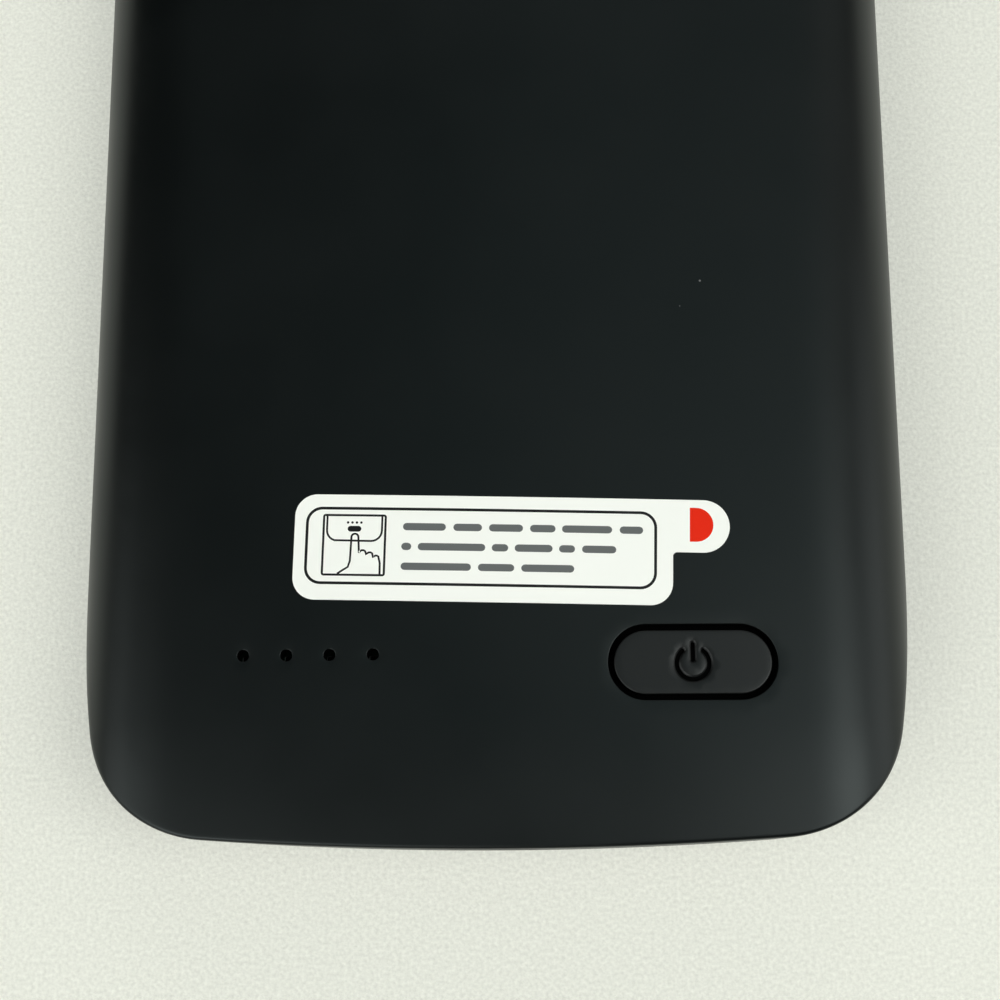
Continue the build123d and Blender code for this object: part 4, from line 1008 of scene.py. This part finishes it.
BLANK, BLACK, RED, GREY = 0, 1, 2, 3
frame_lines = framed(FRAME_X, FRAME_Y, FRAME_WIDTH, FRAME_HEIGHT, FRAME_CORNER, FRAME_STROKE)
picture_lines = framed(PICTURE_X, PICTURE_Y, PICTURE_WIDTH, PICTURE_HEIGHT, PICTURE_CORNER, PICTURE_STROKE, 3)
prints = list(zip(frame_lines + picture_lines, (BLACK, BLANK, BLACK, BLANK)))
for k in range(DOT_COUNT):
    dot = arc(PICTURE_X + DOT_PITCH * (k - (DOT_COUNT - 1) / 2), DOT_Y, DOT_RADIUS, 0, 2 * pi, steps=10)
    prints.append((spots_of(dot), BLACK))
prints.append((spots_of(pill_outline(PICTURE_X, KNOB_Y, KNOB_LENGTH, KNOB_HEIGHT, 2, 8)), BLACK))
case_end = ([(-14.72, 3.02)] + spots_of(arc(-13.72, 1.6, 1.0, pi, 1.5 * pi, steps=6))
            + spots_of(arc(-10.52, 1.6, 1.0, 1.5 * pi, 2 * pi, steps=6)) + [(-9.52, 1.6), (-9.52, 3.02)])
finger = ([(-13.6, -2.55), (-13.1, -2.2), (-12.62, -1.9), (-12.44, -1.3), (-12.38, 0.9)]
          + spots_of(arc(-12.05, 0.95, 0.33, pi, 0, steps=8)) + [(-11.72, 0.95), (-11.62, -0.55)])
for x, y, radius in ((-11.27, -0.62, 0.34), (-10.6, -0.82, 0.34), (-9.98, -1.08, 0.3)):
    finger += spots_of(arc(x, y, radius, 0.9 * pi, 0.1 * pi, steps=5))
finger += [(-9.62, -1.5), (-9.6, -2.55)]
for drawn in (case_end, finger):
    prints.append((ruled(drawn, DRAWN_STROKE), BLACK))
bars = ((2.02, ((-7.55, -3.5), (-2.8, -0.1), (0.55, 3.75), (4.4, 6.8), (7.4, 12.1), (12.8, 15.0))),
        (0.13, ((-7.65, -6.7), (-6.1, 0.25), (0.85, 2.4), (3.0, 6.55), (7.15, 8.65), (9.3, 12.5))),
        (-1.76, ((-7.65, -1.05), (-0.4, 3.0), (3.65, 8.6))))
for y, runs in bars:
    for x0, x1 in runs:
        prints.append((spots_of(pill_outline((x0 + x1) / 2, y, x1 - x0, BAR_HEIGHT, 3, 6)), GREY))
half_disc = spots_of(arc(DISC_X, DISC_Y, DISC_RADIUS, -pi / 2, pi / 2, steps=24))
half_disc += [(DISC_X, DISC_Y + DISC_RADIUS), (DISC_FLAT_X, DISC_Y + DISC_RADIUS),
              (DISC_FLAT_X, DISC_Y - DISC_RADIUS)]
prints.append((half_disc, RED))
print_shapes = [(np.array(spots), kind) for spots, kind in prints]


def ink_at(x, y):
    """Which ink lies on a spot of the paper; the last one printed is on top."""
    kind = BLANK
    for shape, ink in print_shapes:
        if shape[:, 0].min() < x < shape[:, 0].max() and shape[:, 1].min() < y < shape[:, 1].max():
            if within(np.array([[x, y]]), shape)[0]:
                kind = ink
    return kind


def on_back(rise):
    """From the paper's own place to the back of the case, some height above it."""
    def place(x, y):
        px = STICKER_X + x * cos(STICKER_TURN) - y * sin(STICKER_TURN)
        py = STICKER_Y + x * sin(STICKER_TURN) + y * cos(STICKER_TURN)
        return Vector((px, py, crown(px, py) + rise))
    return place


def paper_view(point):
    x, y = point.x - STICKER_X, point.y - STICKER_Y
    return (x * cos(STICKER_TURN) + y * sin(STICKER_TURN), y * cos(STICKER_TURN) - x * sin(STICKER_TURN))


sticker = Skin()
paper_rings = [sticker.ring([on_back(rise)(x, y) for x, y, u, v in paper_outline])
               for rise in (PAPER_LIFT, PAPER_THICKNESS)]
sticker.join(paper_rings)
sticker.fill(paper_rings[0], step=2.0, lift=on_back(PAPER_LIFT), flatten=paper_view, turned=True)
sticker.fill(paper_rings[1], step=1.0, lift=on_back(PAPER_THICKNESS), flatten=paper_view, kind_at=ink_at,
             lines=[outline for outline, _ in prints])
paper_white = grained(
    "paper_white", (0.91, 0.935, 0.885), (0.95, 0.975, 0.925), rough=(0.42, 0.5), depth=4e-6)
ink_black = grained(
    "ink_black", (0.004, 0.005, 0.005), (0.008, 0.009, 0.009),
    rough=(0.4, 0.5), depth=3e-6, Specular_IOR_Level=0.2)
ink_red = grained(
    "ink_red", (0.74, 0.016, 0.001), (0.80, 0.022, 0.002),
    rough=(0.4, 0.5), depth=3e-6, Specular_IOR_Level=0.15)
ink_grey = grained(
    "ink_grey", (0.11, 0.12, 0.12), (0.14, 0.15, 0.15), rough=(0.4, 0.5), depth=3e-6, Specular_IOR_Level=0.2)
pull_sticker = sticker.make("pull_sticker", [paper_white, ink_black, ink_red, ink_grey])
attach(pull_sticker, "case")
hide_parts("sticker")


# Table: a wide sheet of pale, finely mottled paper on a light table, which shines through it a
# little and softens the shade of the case. Far from the case the paper is as bright as the
# backdrop, so that the two meet without a line.
BACKDROP = (0.74, 0.76, 0.70, 1.0)
PAPER_TONE = (0.88, 0.895, 0.795)
PAPER_GLOW = 0.45
PAPER_MOTTLE = 0.22
SWEEP_START = 0.7
SWEEP_END = 2.0
FLOOR_REACH = 4000.0
FLOOR_CORNERS = ((-1, -1), (1, -1), (1, 1), (-1, 1))


def mottled(colour):
    """The deepest and the palest tone of a mottled colour."""
    return [[tone * (1 + side * PAPER_MOTTLE) for tone in colour] for side in (-1, 1)]


floor = Skin()
floor_rim = floor.ring([Vector((x, y, 0)) * FLOOR_REACH for x, y in FLOOR_CORNERS])
floor.fill(floor_rim, step=500.0, lift=lambda x, y: Vector((x, y, 0)))
table_paper = grained("table_paper", *mottled(PAPER_TONE), rough=(0.8, 0.9), depth=8e-5, clouds=2600.0)
paper_tree = table_paper.node_tree
paper_place = add_node(paper_tree, "ShaderNodeTexCoord")
away = add_node(paper_tree, "ShaderNodeVectorMath")
away.operation = "LENGTH"
sweep = add_node(paper_tree, "ShaderNodeMapRange", From_Min=SWEEP_START, From_Max=SWEEP_END,
                 To_Min=PAPER_GLOW)
sweep.interpolation_type = "SMOOTHSTEP"
glow_tone = add_node(paper_tree, "ShaderNodeMix")
glow_tone.data_type = "RGBA"
glow_tone.inputs[6].default_value, glow_tone.inputs[7].default_value = mottled(BACKDROP)
glow = add_node(paper_tree, "ShaderNodeEmission")
paper_or_glow = add_node(paper_tree, "ShaderNodeMixShader")
wire(paper_tree, (paper_place, "Object", away, 0),
     (away, "Value", sweep, "Value"),
     (paper_tree.nodes["grain"], "Cloud", glow_tone, 0),
     (glow_tone, 2, glow, "Color"),
     (sweep, "Result", paper_or_glow, 0),
     (paper_tree.nodes["Principled BSDF"], "BSDF", paper_or_glow, 1),
     (glow, "Emission", paper_or_glow, 2),
     (paper_or_glow, "Shader", paper_tree.nodes["Material Output"], "Surface"))
table = floor.make("table", [table_paper])


# Light and camera: softboxes stand all round the case but straight in front of it, and two of
# the three overhead are cooler. The camera stands over the chin and looks down at the back.
DAYLIGHT = (1.0, 1.0, 0.97)
SKYLIGHT = (0.75, 1.0, 1.02)
SOFTBOX_SIZE = 1.5
SOFTBOX_DISTANCE = 2.6
CHIN = Vector((0, -0.04, 0.02))
CAMERA_PLACE = (0.00581, -0.08504, 0.17617)
PITCH = radians(11.943)
YAW = radians(1.747)
ROLL = radians(0.621)


def softbox(name, azimuth, height, power, colour=DAYLIGHT):
    """A square softbox that faces the chin."""
    lamp = bpy.data.lights.new(name, "AREA")
    lamp.size = SOFTBOX_SIZE
    lamp.energy = power
    lamp.color = colour
    turn, rise = radians(azimuth), radians(height)
    way = Vector((cos(rise) * cos(turn), cos(rise) * sin(turn), sin(rise)))
    piece = new_piece(name, lamp)
    piece.location = CHIN + SOFTBOX_DISTANCE * way
    piece.rotation_euler = way.to_track_quat("Z", "Y").to_euler()
    piece.visible_camera = False


softbox("light_right_low", 0, 18, 13.4)
softbox("light_front_right", 341, 55, 33.0)
softbox("light_front_left", 240, 35, 27.0)
softbox("light_left_low", 192, 25, 13.0)
softbox("light_left", 200, 45, 6.0)
softbox("light_left_high", 205, 55, 7.0)
softbox("light_back", 90, 35, 8.0)
softbox("light_back_right", 45, 35, 4.0)
softbox("light_over_back", 60, 72, 2.9, SKYLIGHT)
softbox("light_over_right", 0, 72, 1.4)
softbox("light_over", 90, 89, 0.6, SKYLIGHT)
world = bpy.data.worlds.new("room")
world.use_nodes = True
backdrop = world.node_tree.nodes["Background"]
backdrop.inputs["Color"].default_value = BACKDROP
seen = add_node(world.node_tree, "ShaderNodeLightPath")
wire(world.node_tree, (seen, "Is Camera Ray", backdrop, "Strength"))
bpy.context.scene.world = world
bpy.context.scene.view_settings.view_transform = "Standard"

right = Vector((1, 0, 0))
up = Vector((0, cos(PITCH), sin(PITCH)))
ahead = Vector((0, sin(PITCH), -cos(PITCH)))
right, ahead = cos(YAW) * right + sin(YAW) * ahead, cos(YAW) * ahead - sin(YAW) * right
right, up = cos(ROLL) * right - sin(ROLL) * up, sin(ROLL) * right + cos(ROLL) * up
lens = bpy.data.cameras.new("camera")
lens.lens = 62.2
lens.sensor_width = 36.0
lens.clip_start = 0.01
camera = new_piece("camera", lens)
facing = Matrix((right, up, -ahead)).transposed().to_4x4()
camera.matrix_world = Matrix.Translation(CAMERA_PLACE) @ facing
bpy.context.scene.camera = camera
